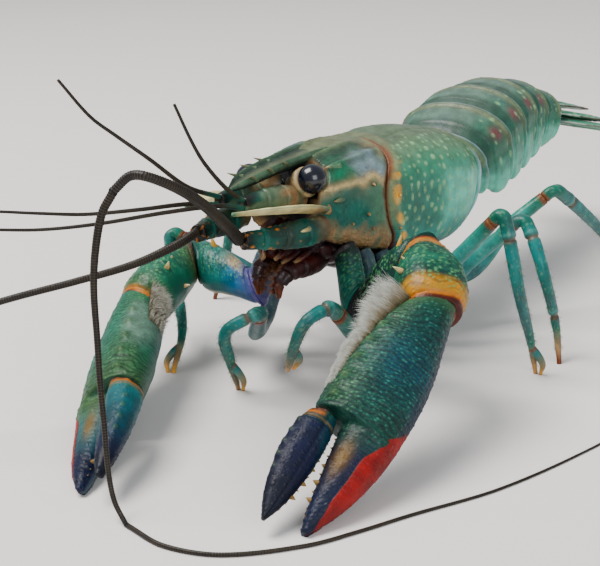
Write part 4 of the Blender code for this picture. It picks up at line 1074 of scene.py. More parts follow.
DARK_WHIP = ((0, "bark"), (0.6, "bark"), (1, "blackish_and_shade"))
for k, thick in enumerate(((2.3, 1.75, 1.45), (1.4, 1.0, 0.8), (0.8, 0.55, 0.35))):
    whip(f"antenna_left_{k + 1}", ANTENNA_LEFT[k], thick, DARK_WHIP)
for k, thick in enumerate(((1.7, 1.3, 1.2), (1.15, 0.8, 0.4))):
    whip(f"antenna_right_{k + 1}", ANTENNA_RIGHT[k], thick, DARK_WHIP)
for name, points in ANTENNULES.items():
    whip(name, points, (0.9, 0.7, 0.5), ((0, "teal"), (0.15, "bark"), (1, "bark")), 0.36)

# %% [markdown]
# ## Bristles as mesh
# Each bristle is a three-sided spike that bends from root to tip. All bristles of a mat are
# worked out together. Their map for later baking gives each one a tiny square at its root's
# place on the skin, so neighbouring bristles stay neighbours on the map.

# %% Bristles


def bristles(roots, tips, bends, radius, place, stops, luck=None):
    """Points root + (tip - root) t + 4 t (1 - t) bend at four heights, each with three corners
    at a distance radius (1 - t)^0.6; `place` is the roots' spot on the skin's own map."""
    roots, tips, bends = (np.asarray(a, float) for a in (roots, tips, bends))
    count, t = len(roots), np.array([0, 0.36, 0.72])
    way = unit(tips - roots)
    side = unit(np.cross(way, np.where(np.abs(way[:, 2:]) < 0.8, (0, 0, 1), (1, 0, 0))))
    up = np.cross(way, side)
    path = (roots[:, None] + (tips - roots)[:, None] * t[:, None]
            + bends[:, None] * (4 * t * (1 - t))[:, None])
    angle = turns(3)
    ring = side[:, None] * np.cos(angle)[:, None] + up[:, None] * np.sin(angle)[:, None]
    r = np.broadcast_to(np.asarray(radius, float), count)[:, None] * (1 - t) ** 0.6
    grid = path[:, :, None] + ring[:, None] * r[:, :, None, None]
    verts = np.concatenate([grid.reshape(count, 9, 3), roots[:, None], tips[:, None]], axis=1)
    k, n = np.meshgrid(np.arange(2), np.arange(3), indexing="ij")
    k, n = k.ravel(), n.ravel()
    quads = np.stack([k * 3 + n, k * 3 + (n + 1) % 3, k * 3 + 3 + (n + 1) % 3, k * 3 + 3 + n], 1)
    tris = np.array([(9, 1, 0), (9, 2, 1), (9, 0, 2), (10, 6, 7), (10, 7, 8), (10, 8, 6)])
    first = np.arange(count)[:, None, None] * 11
    rise = np.concatenate([np.repeat(t, 3), (0, 1)])
    turn = np.concatenate([np.tile(np.arange(3) / 3, 3), (0.5, 0.5)])
    spots = np.stack([turn, rise], axis=1) * 0.003
    place = np.asarray(place, float)[:, None, None]
    luck = np.zeros(count) if luck is None else luck
    tone = ramp(np.broadcast_to(rise, (count, 11)), *stops) * (1 + 0.25 * luck)[:, None, None]
    return {"verts": verts.reshape(-1, 3), "quads": (quads + first).reshape(-1, 4),
            "tris": (tris + first).reshape(-1, 3),
            "quad_uv": (spots[quads] + place).reshape(-1, 4, 2),
            "tri_uv": (spots[tris] + place).reshape(-1, 3, 2),
            "tone": tone.reshape(-1, 3)}


def bristle_finish(name):
    """Tone alone, with a dull surface."""
    f = Finish(name)
    f.set(Base_Color=f.tone(), Roughness=0.6)
    return f.material


print("bristle tools ready")

# %% [markdown]
# ## Claws
# Each claw lies in a frame of its own: along the hand, outwards and up. The outer and inner
# edges and the thickness are measured at stations between the wrist and the tip. The fixed
# finger carries the soft scarlet patch of a grown male on its outer edge.

# %% The claws' measures
CLAWS = {
    "left": {"ischium": (12.4, -43.6, 14.2), "elbow": (25.6, -41.9, 25.8),
             "wrist": (34.9, -50.6, 22.6), "tip": (37.6, -95.0, 0.6),
             "out": (0.809, 0.294, -0.509)},
    "right": {"ischium": (-9.0, -44.2, 15.2), "elbow": (-24.7, -43.6, 17.8),
              "wrist": (-26.0, -57.4, 14.4), "tip": (0.6, -103.0, 0.9),
              "out": (-0.668, -0.146, -0.730)}}
WRIST_S = 4.0
HAND_S = (0.0, 3.5, 8.0, 15.0, 22.0, 30.2, 31.0, 35.0, 40.0, 45.0, 48.9)
HAND_OUTER = (2.4, 2.7, 3.6, 5.2, 6.0, 5.8, 5.7, 5.1, 4.0, 2.4, 0.3)
HAND_INNER = (-4.2, -5.4, -6.7, -8.0, -8.7, -8.5, -3.9, -3.0, -2.4, -1.7, -0.6)
HAND_THICK = (3.8, 4.2, 4.6, 5.0, 5.0, 4.3, 4.1, 3.2, 2.6, 1.9, 0.8)
FINGER_S = (31.45, 34.0, 38.5, 43.0, 47.0, 50.4)
FINGER_OUTER = (-4.4, -3.9, -3.7, -4.0, -4.7, -5.8)
FINGER_INNER = (-8.6, -9.8, -9.9, -9.2, -8.1, -6.6)
FINGER_THICK = (3.0, 3.0, 2.7, 2.2, 1.6, 0.7)
LEG_ROOT_Y = {1: -38.2, 2: -33.0, 3: -27.6, 4: -21.8, 5: -15.2}
HIP_TURN, KNEE_BACK = 2.55, 1.2


def hip(y, side):
    """Where a leg leaves the belly, and the way out of the shell there."""
    skin_point, out_point = (trunk(y, side * HIP_TURN, lift)
                             for lift in (GAP + 0.35, 3.0))
    return skin_point, unit(out_point - skin_point)


def joint_plane(before, joint, after, side):
    """The plane that halves a bend, moved half a gap to the `side` (-1 before it, 1 after)."""
    normal = unit(unit(joint - before) + unit(after - joint))
    return joint + normal * side * GAP / 2, normal


def hand_frame(claw):
    """The wrist, then unit vectors along the hand, outwards and up, then its length."""
    wrist, tip, out = (np.array(claw[k]) for k in ("wrist", "tip", "out"))
    length = np.linalg.norm(tip - wrist)
    along = (tip - wrist) / length
    out = unit(out - along * (out @ along))
    up = unit(np.cross(along, out))
    return wrist, along, out, up if up[2] > 0 else -up, length


def slab(frame, keys, low, high, thick, s, sides, power=2.1):
    """Superellipse rings between an inner and an outer edge; returns them and their angles."""
    wrist, along, out, up, length = frame
    a, b, k = (smooth(keys, values, s)[:, None] for values in (low, high, thick))
    angle = turns(sides)
    c, q = (np.sign(v) * np.abs(v) ** (2 / power) for v in (np.cos(angle), np.sin(angle)))
    rings = (wrist + along * (s * length / HAND_S[-1])[:, None, None]
             + out * ((a + b) / 2 + (b - a) / 2 * c)[..., None] + up * (k * q)[..., None])
    return rings, angle


def on_hand(frame, s, t, lift):
    """A point of the hand's frame: s along it, t outwards and `lift` above it."""
    wrist, along, out, up, length = frame
    return wrist + along * (s * length / HAND_S[-1]) + out * t + up * lift


def flat_foot(points, reach=0.3):
    """Points within `reach` of the floor are laid flat on it."""
    points = points.copy()
    points[..., 2] = np.where(points[..., 2] < reach, 0.0, points[..., 2])
    return points


print("hand length in mm", round(hand_frame(CLAWS["left"])[4], 1))

# %% Palms and fixed fingers
HANDS = {
    "left": ((0, "ember"), (1.2, "ochre"), (3.2, "moss"), (7, "pine"), (18, "sea"), (30, "pine"),
             (36, "navy"), (49, "navy")),
    "right": ((0, "maroon"), (1.5, "moss"), (5, "reed"), (20, "reed"), (31, "moss"), (36, "lake"),
              (44, "navy"), (49, "navy"))}


def wrist_joint(frame):
    """The wrist's middle, and a point beyond it that sets how the joint is cut."""
    wrist = frame[0] + frame[1] * WRIST_S * frame[4] / HAND_S[-1]
    return wrist, wrist + frame[1] * 10 + frame[2] * 6


def palm(word, frame):
    """Relief: knobs on the upper inner margin, granules, faint cross waves and the swollen soft
    patch. Tone: a ramp along the hand, dark wavy bars, pale flecks, navy edges, scarlet patch, and a
    painted sheen on the right palm."""
    rows, columns = 310, 210
    s = np.linspace(WRIST_S, HAND_S[-1], rows)
    rings, angle = slab(frame, HAND_S, HAND_INNER, HAND_OUTER, HAND_THICK, s, columns)
    elbow = np.array(CLAWS[word]["elbow"])
    rings = mitre(rings, first=joint_plane(elbow, *wrist_joint(frame), 1), power=5)
    s = np.broadcast_to(s[:, None], rings.shape[:2])
    c, q = (np.broadcast_to(v, s.shape) for v in (np.cos(angle), np.sin(angle)))
    rough, fine = grain(rings, 4.5, 51), grain(rings, 1.3, 52)
    knob_row = np.exp(-((s - 2.5) % 4 - 2) ** 2 / 1.1) * bump_at(angle, 2.45, 0.16)
    knob_row = knob_row * step_up(s, 8, 10) * fall(s, 28, 30)
    around = way_round(rings)
    grains, _ = dots(s, around, 1.5, 53, 0.27, 0.07)
    bars = np.sin(2 * math.pi * (s / 0.85 + 1.1 * rough + 0.5 * fine + 0.5 * c))
    edge = smooth((25.6, 28.6, 32, 36, 43, 46.5, 48), (1.02, 0.82, 0.48, 0.1, 0.12, 0.4, 1), s)
    soft = step_up(c + 0.05 * fine - edge, -0.01, 0.08) * step_up(q, -0.8, -0.55)
    # Painted sheen: on the right palm, a soft pewter oval on the upper inner face stands for the
    # light's reflection, and the dark bars fade under it.
    painted_sheen = step_up(-np.hypot((s + rough - 15) / 8, (angle - 2.9) / 0.75), -1.2, -0.5)
    painted_sheen = painted_sheen * (word == "right")
    waves = step_up(bars, 0.3, 0.9) * (1 - 0.9 * painted_sheen)
    height = (0.75 * knob_row + 0.10 * grains * step_up(q, -0.6, 0.0) - 0.05 * waves
              + 0.2 * soft * step_up(s, 29, 34) * fall(s, 42, 48) + 0.12 * rough + 0.04 * fine
              - 0.3 * bump_at(s, 31, 1.2) * step_up(-c, 0.1, 0.6))
    rings = swell(rings, height * (1 - soft * 0.3))
    tone = ramp(s + 1.5 * rough, *HANDS[word])
    under = step_up(-q, 0.15, 0.6)
    cloud = step_up(grain(rings, 8.0, 54) + 0.3 * rough, 0.05, 0.7)
    cloud = cloud * fall(np.abs(s - 19), 5, 11)
    flecks, luck = dots(s * 1.5 + 0.4 * rough, around, 0.72, 55, 0.30, 0.14, 0.25)
    flecks = flecks * step_up(q, -0.1, 0.4) * step_up(s, 3, 6) * fall(s, 29, 35)
    green = step_up(-c, 0.0, 0.8)
    glow = coats(tone_of("scarlet", soft), [
        ("crimson", 0.7 * step_up(grain(rings, 2.2, 56), 0.1, 0.6))])
    tone = coats(tone, [
        ("slate", 0.45 * under),
        ("lagoon", 0.25 * cloud * step_up(q, 0.2, 0.8)),
        ("moss", 0.45 * green * step_up(q, 0, 0.4) * fall(s, 27, 31)),
        ("fleck", (0.25 + 0.35 * green) * flecks),
        ("lagoon", 0.4 * flecks * step_up(luck, 0.3, 0.7) * (1 - green)),
        ("night", 0.55 * step_up(bars + 0.5 * grain(rings, 0.8, 57), 0.1, 0.7)
            * (1 - 0.7 * under) * step_up(s, 5, 9) * fall(s, 29, 35)),
        ("pewter", 0.7 * painted_sheen),
        ("navy", 0.85 * step_up(c + 0.08 * rough, 0.72, 0.95) * step_up(s, 5, 11)),
        ("moss", 0.6 * step_up(knob_row, 0.3, 0.8)),
        ("ochre", 0.85 * bump_at(s + 0.8 * rough, 36.6, 2.8) * bump_at(c, -0.55, 0.28)),
        ("pine", 0.9 * bump_at(s, 30.8, 0.5) * step_up(-c, 0.2, 0.6)),
        ("ember", 0.8 * step_up(soft, 0.02, 0.3))])
    tone = tone + (glow - tone) * step_up(soft, 0.3, 0.8)[..., None]
    return rings, tone


def gape_teeth(frame, keys, edge, rows, way):
    """Blunt teeth on a cutting edge, with smaller ones between the measured ones."""
    patches = []
    for s, height, r in rows:
        t = smooth(keys, edge, s)
        patches.append(thorn(on_hand(frame, s, t - way * 0.8, 0.1),
                             on_hand(frame, s + 0.1, t + way * height, 0.1), r, TOOTH,
                             sides=16, rows=10))
    return patches


TOOTH = ((0, "navy"), (0.4, "ochre"), (0.8, "tan"), (1, "peach"))
PALM_TEETH = ((33.2, 0.25, 0.5), (34.8, 0.3, 0.5), (36.3, 0.35, 0.5), (38.0, 0.5, 0.75),
              (39.5, 0.3, 0.45), (41.0, 0.75, 0.8), (42.6, 0.3, 0.45), (44.0, 0.75, 0.7),
              (45.4, 0.25, 0.35), (46.5, 0.2, 0.3))
FINGER_TEETH = ((34.6, 0.2, 0.45), (36.2, 0.3, 0.45), (37.8, 0.3, 0.5), (39.6, 0.45, 0.7),
                (41.0, 0.3, 0.4), (42.4, 0.65, 0.75), (43.8, 0.3, 0.4), (45.2, 0.75, 0.7),
                (46.6, 0.25, 0.35), (47.8, 0.2, 0.3))


def dactyl(word, frame):
    """The moving finger: an orange hinge band with a thin pale line, then indigo to the tip."""
    rows, columns = 170, 124
    s = np.linspace(FINGER_S[0], FINGER_S[-1], rows)
    rings, angle = slab(frame, FINGER_S, FINGER_INNER, FINGER_OUTER, FINGER_THICK, s, columns)
    s = np.broadcast_to(s[:, None], rings.shape[:2])
    c = np.broadcast_to(np.cos(angle), s.shape)
    rough, fine = grain(rings, 3.5, 61), grain(rings, 1.1, 62)
    grains, _ = dots(s, way_round(rings), 1.2, 63, 0.27, 0.07)
    saw = np.exp(-((s - 33) % 2.2 - 1.1) ** 2 / 0.35) * bump_at(angle, 2.75, 0.2)
    saw = saw * fall(s, 42, 46)
    rings = swell(rings, 0.28 * saw + 0.08 * grains + 0.08 * rough + 0.03 * fine
                  - 0.25 * bump_at(s, 33.4, 0.25) - 0.16 * bump_at(angle, 1.2, 0.12))
    body = {"left": ((31.4, "pine"), (34, "navy"), (40, "indigo"), (50, "night")),
            "right": ((31.4, "moss"), (34, "lake"), (45, "navy"), (50, "night"))}[word]
    tone = ramp(s + rough, *body)
    hinge = step_up(-c + 0.3 * fine, -0.2 if word == "left" else -1.2, 0.5)
    tone = coats(tone, [
        ("sea", 0.5 * step_up(c + 0.5 * rough, 0.2, 0.8) * fall(s, 37, 43)),
        ("moss", 0.35 * step_up(saw, 0.3, 0.7)),
        ("ember", 0.9 * fall(s, 32.4, 32.8) * hinge),
        ("orange", 0.6 * bump_at(s, 32.3, 0.35) * hinge),
        ("ochre", 0.5 * bump_at(s, 33.1, 0.13))])
    return rings, tone


MAT_STOPS = {"left": ((0, "tan"), (0.3, "beige"), (0.55, "foam"), (1, "foam")),
             "right": ((0, "dusk"), (0.4, "tan"), (1, "foam"))}


def mat_of_bristles(word, frame, count, last, keys, lengths):
    """Bristles root on the inner edge of the palm, longest by the wrist. Each leans a little
    towards the middle of one of some hundred locks."""
    draw = np.random.default_rng(71 if word == "left" else 72)
    s = 5.0 + (last - 5.0) * draw.random(count) ** 1.15
    height = draw.uniform(-0.5, 0.56 - 0.16 * s / last) - (0.3 if word == "right" else 0)
    lock = np.round(s / 0.9) + 40 * np.round(height * 4.5)
    table = draw.uniform(-1, 1, (4096, 3))
    clump = table[lock.astype(int) % 4096]
    inner, thick = smooth(HAND_S, HAND_INNER, s), smooth(HAND_S, HAND_THICK, s)
    across = np.sqrt(1 - height**2)
    wrist, along, out, up, length = frame
    scale = length / HAND_S[-1]
    own = draw.uniform(-1, 1, (count, 3))
    reach = smooth(keys, lengths, s) * (0.82 + 0.3 * own[:, 0]) * (1 - 0.4 * np.abs(height - 0.1))
    reach = reach * (0.85 + 0.2 * clump[:, 0])
    at = lambda s, t, k: (wrist + along * (s * scale)[:, None] + out * t[:, None]
                          + up * k[:, None])
    roots = at(s, inner * across + 0.35, thick * height * 0.97)
    heart = np.round(s / 0.9) * 0.9
    middle = np.round(height * 4.5) / 4.5
    ends = s + 0.3 * (heart - s) + reach * (0.1 + 0.16 * clump[:, 1] + 0.3 * own[:, 1])
    above = height + 0.25 * (middle - height)
    tips = at(ends, inner * across - reach * (0.88 + 0.06 * clump[:, 1]),
              thick * above + reach * (above * 0.6 + 0.10 + 0.10 * clump[:, 2] + 0.2 * own[:, 2]))
    bends = (out * (-0.12 * reach)[:, None] + up * (0.12 * reach)[:, None])
    place = np.stack([0.02 + 0.95 * s / 30, 0.1 + 0.8 * (height + 0.5) / 1.3], axis=1)
    return bristles(roots, tips, bends, 0.042 + 0.012 * own[:, 0], place,
                    MAT_STOPS[word], own[:, 1])


def make_hand(word, *mat):
    """The palm with its fixed finger, the moving finger, and the mat on the palm's inner edge."""
    frame = hand_frame(CLAWS[word])
    for part, title, (rings, tone), teeth, coat in (
            ("palm", "palm", palm(word, frame), (HAND_S, HAND_INNER, PALM_TEETH, -1), 0.05),
            ("finger", "dactyl", dactyl(word, frame),
             (FINGER_S, FINGER_OUTER, FINGER_TEETH, 1), 0.04)):
        node = f"claw_{word}_{part}"
        finish_piece(node + "_shell", [capped(rings, tone, 0.3, 0.25, flat=0.3)]
                     + gape_teeth(frame, *teeth),
                     shell_finish(f"{title}_finish_{word}", rough=0.5, pore=0.5, coat=coat),
                     [node])
    finish_piece(f"claw_{word}_mat", [mat_of_bristles(word, frame, *mat)],
                 bristle_finish("mat_finish_" + word), [f"claw_{word}_palm"],
                 uv="OFBake")


make_hand("left", 7600, 26.0, (4, 9, 14, 20, 26), (6.8, 5.2, 3.3, 1.8, 0.6))
make_hand("right", 2600, 15.0, (4, 8, 12, 15), (4.0, 3.4, 2.2, 1.0))

# %% [markdown]
# ## Arms
# Each claw hangs on three segments: a short ischium, a long merus and a knuckle-like carpus.
# Soft orange skin fills the joints, and the carpus carries a strong spine on its inner face.

# %% Arms
MERUS_RADII = (2.6, 3.1, 3.9, 4.4, 3.7)
CARPUS_RADII = (3.9, 5.2, 6.1, 6.0, 4.6)
CARPUS_THORNS = ((2.4, 0.35, 2.8, 1.0), (-0.6, 0.5, 1.6, 0.8), (3.0, -0.5, 1.6, 0.8),
                 (0.8, 0.95, 0.7, 0.5), (3.2, 1.0, 0.8, 0.5))
ARM_STOPS = {
    "left": {"ischium": ((0, "belly"), (0.5, "teal"), (1, "teal")),
             # Painted shade: the left merus is belly and night paint at the body end, turning to
             # pine, where it lies in the shadow under the head.
             "merus": ((0, "belly"), (0.35, "night"), (0.8, "pine"), (1, "pine")),
             "carpus": ((0, "maroon"), (0.02, "ember"), (0.05, "orange"), (0.23, "orange"),
                        (0.28, "pine"), (0.5, "reed"), (0.7, "pine"), (0.75, "ochre"),
                        (0.8, "gold"), (0.89, "gold"), (0.94, "orange"), (0.97, "ember"),
                        (1, "maroon"))},
    "right": {"ischium": ((0, "belly"), (0.5, "slate"), (1, "violet")),
              "merus": ((0, "violet"), (0.3, "sky"), (0.5, "turquoise"), (0.85, "teal"),
                        (1, "pine")),
              "carpus": ((0, "maroon"), (0.1, "moss"), (0.35, "reed"), (0.7, "reed"),
                         (0.88, "moss"), (0.95, "orange"), (1, "maroon"))}}


def arm_skin(rings, stops, seed, pale_side):
    """Relief: granules and cloudy swellings. Tone: a ramp along the limb with dark wavy bars, pale
    flecks and a paler side where the unit vector `pale_side` points."""
    t = down_rows(rings)
    length = np.linalg.norm(rings[-1].mean(axis=0) - rings[0].mean(axis=0))
    rough, fine = grain(rings, 3.5, seed), grain(rings, 1.1, seed + 1)
    away = unit(rings - rings.mean(axis=1, keepdims=True)) @ np.asarray(unit(pale_side))
    grains, _ = dots(t * length, way_round(rings), 1.3, seed, 0.27, 0.07)
    ends = step_up(t, 0.06, 0.16) * fall(t, 0.82, 0.92)
    rings = swell(rings, 0.09 * grains * step_up(away, -0.3, 0.3) + 0.10 * rough + 0.04 * fine
                  - 0.22 * bump_at(t, 0.07, 0.02) - 0.22 * bump_at(t, 0.93, 0.02))
    tone = ramp(t + 0.03 * rough, *stops)
    bars = np.sin(2 * math.pi * (t * length / 2.3 + 1.2 * rough))
    flecks, _ = dots(t * length * 1.3, way_round(rings), 0.95, seed + 2, 0.32, 0.14)
    tone = coats(tone, [
        ("night", 0.4 * step_up(bars, 0.2, 0.9) * ends * step_up(away, -0.2, 0.4)),
        ("slate", 0.35 * step_up(-away, 0.1, 0.7) * ends),
        ("fleck", 0.6 * flecks * ends * step_up(away, -0.1, 0.4))])
    return rings, tone


def joint_skin(before, joint, after, radius, name="rust"):
    """A plug of soft skin that bridges the gap in a joint, wrinkled across."""
    a, b = unit(joint - before), unit(after - joint)
    path = route([joint - a * radius * 0.5, joint, joint + b * radius * 0.5], 24)
    t = np.linspace(-1, 1, 24)
    r = radius * (1 - 0.25 * t**2) * (1 + 0.03 * np.cos(14 * t))
    rings = tube(path, r, r, (0, 0.3, 1), 48)
    return patch(rings, tone_of(name, rings))


def make_arm(word, side):
    """Ischium, merus with two thorns, carpus with five, and the soft skin between them."""
    claw = CLAWS[word]
    ischium, elbow = np.array(claw["ischium"]), np.array(claw["elbow"])
    root, away = hip(LEG_ROOT_Y[1], side)
    frame = hand_frame(claw)
    wrist, wrist_on = wrist_joint(frame)
    stops = ARM_STOPS[word]
    rings = limb([root, root + away * 1.5, (root + away * 2 + ischium) / 2, ischium],
                 (2.2, 2.5, 2.6), (2.1, 2.3, 2.4), (0, 0.3, 1), 66, 80,
                 last=joint_plane(root + away, ischium, elbow, -1))
    rings, tone = arm_skin(rings, stops["ischium"], 81, (0, 0, 1))
    node = f"claw_{word}_ischium"
    finish_piece(node + "_shell", [capped(rings, tone, 0.0, 0.2),
                                   joint_skin(root + away, ischium, elbow, 2.0, "belly")],
                 shell_finish(node + "_finish"), [node])
    rings = limb([ischium, (ischium + elbow) / 2 + (0, 0, 0.4), elbow], MERUS_RADII,
                 np.array(MERUS_RADII) * 0.85, (0, 0.3, 1), 130, 130,
                 first=joint_plane(root + away, ischium, elbow, 1),
                 last=joint_plane(ischium, elbow, wrist, -1))
    rings, tone = arm_skin(rings, stops["merus"], 84, (0, 0, 1))
    if word == "right":
        above = unit(rings - rings.mean(axis=1, keepdims=True))[..., 2]
        t = np.linspace(0, 1, len(rings))[:, None]
        tone = coats(tone, [
            ("beige", 0.85 * step_up(above, 0.75, 0.95) * bump_at(t, 0.3, 0.14)),
            ("beige", 0.7 * step_up(-above, 0.6, 0.85) * step_up(t, 0.2, 0.4))])
    node, way = f"claw_{word}_merus", unit(elbow - ischium)
    patches = [capped(rings, tone, 0.25, 0.25), joint_skin(ischium, elbow, wrist, 2.9, "pine")]
    for slip in (1, -1):
        foot = elbow - way * 4.2 + np.array([0, 0, 2.6]) + frame[2] * slip * 1.6
        patches.append(thorn(foot, foot + np.array([0, 0, 2.6]) + way * 0.8, 0.75,
                             ((0, "reed"), (0.5, "peach"), (1, "cream"))))
    shell_piece(node, patches)
    rings = limb([elbow, (elbow + wrist) / 2 + frame[3] * 0.9, wrist], CARPUS_RADII,
                 np.array(CARPUS_RADII) * 0.86, frame[2], 130, 160,
                 first=joint_plane(ischium, elbow, wrist, 1),
                 last=joint_plane(elbow, wrist, wrist_on, -1))
    rings, tone = arm_skin(rings, stops["carpus"], 87, frame[3])
    node, way = f"claw_{word}_carpus", unit(wrist - elbow)
    patches = [capped(rings, tone, 0.2, 0.2), joint_skin(elbow, wrist, wrist_on, 3.4, "ember")]
    for slide, turn, long, r in CARPUS_THORNS:
        out = unit(-frame[2] * math.cos(turn) + frame[3] * math.sin(turn))
        foot = (elbow + wrist) / 2 + way * slide + out * 4.2
        patches.append(thorn(foot, foot + out * (1.2 + long) + frame[1] * long * 0.5, r,
                             ((0, "reed"), (0.4, "orange"), (0.75, "cream"), (1, "ivory"))))
    shell_piece(node, patches, rough=0.42)


make_arm("left", 1)
make_arm("right", -1)

# %% [markdown]
# ## Walking legs
# Four pairs of slender legs. The second and third pairs end in tiny pincers, the others in one
# hooked claw. The photo hides their roots, which are set where the shell's belly edge lets them
# through.

# %% Walking legs
LEGS = {
    "left": {
        2: (((13.4, -37.6, 10.8), (16.4, -48.4, 11.8), (17.0, -56.4, 18.8)),
            ((15.4, -62.8, 18.6), (12.6, -62.6, 13.6), (9.6, -60.6, 8.2))),
        3: (((16.0, -28.6, 13.2), (25.0, -28.0, 22.4), (32.2, -27.9, 30.2)),
            ((36.9, -27.9, 16.5), (37.4, -25.0, 8.0), (37.4, -22.4, 0.2))),
        4: (((15.4, -21.0, 12.2), (22.0, -17.0, 18.6), (28.6, -13.8, 25.2)),
            ((35.5, -16.2, 17.6), (37.0, -13.6, 6.4), (39.0, -16.0, 0.2))),
        5: (((15.6, -9.0, 11.8), (20.8, -1.6, 20.4), (26.6, 3.4, 26.4)),
            ((30.3, 20.1, 15.3), (33.0, 27.0, 7.0), (34.6, 31.0, 0.2)))},
    "right": {
        2: (((-10.8, -38.6, 9.8), (-7.0, -47.6, 8.0), (0.4, -55.8, 15.2)),
            ((-3.4, -61.0, 12.8), (-4.9, -58.4, 6.2), (-5.0, -56.4, 0.2))),
        3: (((-15.6, -29.6, 11.4), (-25.0, -33.6, 15.6), (-34.0, -37.4, 20.2)),
            ((-31.4, -41.6, 9.6), (-23.6, -49.8, 5.4), (-20.6, -56.4, 0.2))),
        4: (((-15.6, -21.0, 12.0), (-24.0, -18.0, 19.0), (-31.0, -15.4, 25.6)),
            ((-37.0, -17.0, 16.0), (-39.0, -17.6, 7.0), (-41.0, -19.0, 0.2))),
        5: (((-15.8, -9.0, 11.8), (-22.4, -0.6, 20.0), (-28.6, 5.0, 25.6)),
            ((-33.4, 18.4, 16.2), (-36.6, 26.0, 7.6), (-38.4, 31.0, 0.2)))}}
LEG_STOPS = {
    "left": ((0, "slate"), (0.4, "turquoise"), (0.8, "lagoon"), (1, "reed")),
    "right": ((0, "slate"), (0.4, "slate"), (0.75, "turquoise"), (1, "slate"))}


def leg_skin(rings, stops, cuts, seed):
    """Relief: grooves at the segments' cuts and fine grain. Tone: a ramp, rusty bands at the
    cuts with a pale line beside each, small pale flecks."""
    t = down_rows(rings)
    length = np.linalg.norm(np.diff(rings.mean(axis=1), axis=0), axis=1).sum()
    rough, fine = grain(rings, 2.5, seed), grain(rings, 0.8, seed + 1)
    rings = swell(rings, joined(t, cuts, 0.26, 0.35 / length) + 0.05 * rough + 0.03 * fine)
    tone = ramp(t + 0.03 * rough, *stops)
    under = step_up(-unit(rings - rings.mean(axis=1, keepdims=True))[..., 2], 0.2, 0.8)
    spots, _ = dots(t * length, way_round(rings), 1.4, seed + 2, 0.2, 0.1, 0.12)
    tone = coats(tone, [
        ("dusk", 0.5 * under),
        ("slate", 0.4 * step_up(grain(rings, 4.0, seed + 3), 0.0, 0.6)),
        ("spot", 0.25 * spots)])
    for cut in cuts:
        tone = coats(tone, [
            ("rust", 0.6 * bump_at(t * length, cut * length + 0.1, 0.5)),
            ("mist", 0.35 * bump_at(t * length, cut * length - 1.1, 0.35))])
    return rings, tone


def leg_bristles(rings, count, long, seed, tile, start=0.3):
    """Short bristles at random points of a limb's grid that lean towards its tip."""
    draw = np.random.default_rng(seed)
    n, m = rings.shape[:2]
    i = (n * (start + (0.97 - start) * draw.random(count) ** 0.7)).astype(int).clip(1, n - 2)
    j = draw.integers(0, m, count)
    roots = rings[i, j]
    away = unit(roots - rings[i].mean(axis=1))
    along = unit(rings[i + 1, j] - rings[i - 1, j])
    reach = long * draw.uniform(0.5, 1.0, count)[:, None]
    tips = roots + reach * (0.55 * away + 0.8 * along + 0.15 * draw.uniform(-1, 1, (count, 3)))
    tips[:, 2] = np.maximum(tips[:, 2], 0.05)
    place = np.stack([(tile + 0.05 + 0.9 * i / n) / 20, 0.03 + 0.9 * j / m], axis=1)
    return bristles(roots, tips, away * 0.12 * reach, 0.035, place,
                    ((0, "teal"), (0.5, "tan"), (1, "clay")), draw.uniform(-1, 1, count))


def small_finger(path):
    """The moving finger beside the tip of a second or third leg."""
    way = unit(path[-1] - path[-2])
    side = unit(np.cross(way, (0, 0, 1)) + (0, 0, 0.001))
    root = path[-1] - way * 5.6
    line = [root, root + way * 1.4 + side * 1.0, root + way * 3.4 + side * 1.7,
            root + way * 5.4 + side * 1.1]
    rings = limb(line, (0.8, 0.75, 0.6, 0.3), (0.7, 0.65, 0.5, 0.3), side, 60, 30)
    t = down_rows(rings)
    tone = ramp(t, (0, "rust"), (0.2, "turquoise"), (0.7, "tan"), (1, "peach"))
    return capped(rings, tone, 0.1, 0.25, flat=0.4)


def make_leg(word, side, k, upper, lower, tile):
    """Both pieces of leg k; returns its bristles and the node that carries them."""
    root, away = hip(LEG_ROOT_Y[k], side)
    upper = [root, root + away * 1.6] + [np.array(p) for p in upper]
    way = unit(route(upper, 12)[-1] - route(upper, 12)[-2])
    upper[-1] = upper[-1] - way * KNEE_BACK
    stops = LEG_STOPS[word]
    rings = limb(upper, (1.5, 1.7, 1.7, 1.45), (1.3, 1.4, 1.4, 1.25), (0, 1, 0.1), 140, 34,
                 first=(root, away), last=(upper[-1], way))
    rings, tone = leg_skin(rings, stops, (0.16, 0.30), 90 + tile)
    t = np.linspace(0, 1, len(rings))[:, None]
    tone = coats(tone, [("rust", 0.8 * step_up(t, 0.965, 0.985))])
    node = f"leg_{word}_{k}_upper"
    start = upper[-1] + way * GAP
    turn_in = unit(np.array(lower[0]) - start)
    knee = joint_skin(upper[-1] - way * 3, upper[-1] + way * GAP / 2, start + turn_in * 3, 1.05)
    shell_piece(node, [capped(rings, tone, 0.0, 0.3), knee])
    lower = [start, start + way * 1.5, start + way * 2.5 + turn_in * 1.3] + [
        np.array(p) for p in lower]
    rings = limb(lower, (1.35, 1.25, 1.0, 0.4), (1.2, 1.1, 0.9, 0.4), (0, 1, 0.1), 170, 34,
                 first=(start, way), ease=1.15)
    rings = flat_foot(rings, 0.4) if lower[-1][2] < 1 else rings
    tip = "rust" if k > 3 else "peach"
    cuts = (0.25, 0.74) if k > 3 else (0.24,)
    rings, tone = leg_skin(rings, ((0, "reed"), (0.3, "turquoise"), (0.8, "teal"),
                                   (0.93, "clay"), (1, tip)), cuts, 120 + tile)
    t = np.linspace(0, 1, len(rings))[:, None]
    tone = coats(tone, [("rust", 0.8 * fall(t, 0.015, 0.03))])
    shapes, node = [], f"leg_{word}_{k}_lower"
    hair = leg_bristles(rings, 260, 0.9, 150 + tile, tile)
    shapes.append(capped(rings, tone, 0.25, 0.25))
    if k < 4:
        shapes.append(small_finger(lower))
    shell_piece(node, shapes)
    return hair, node


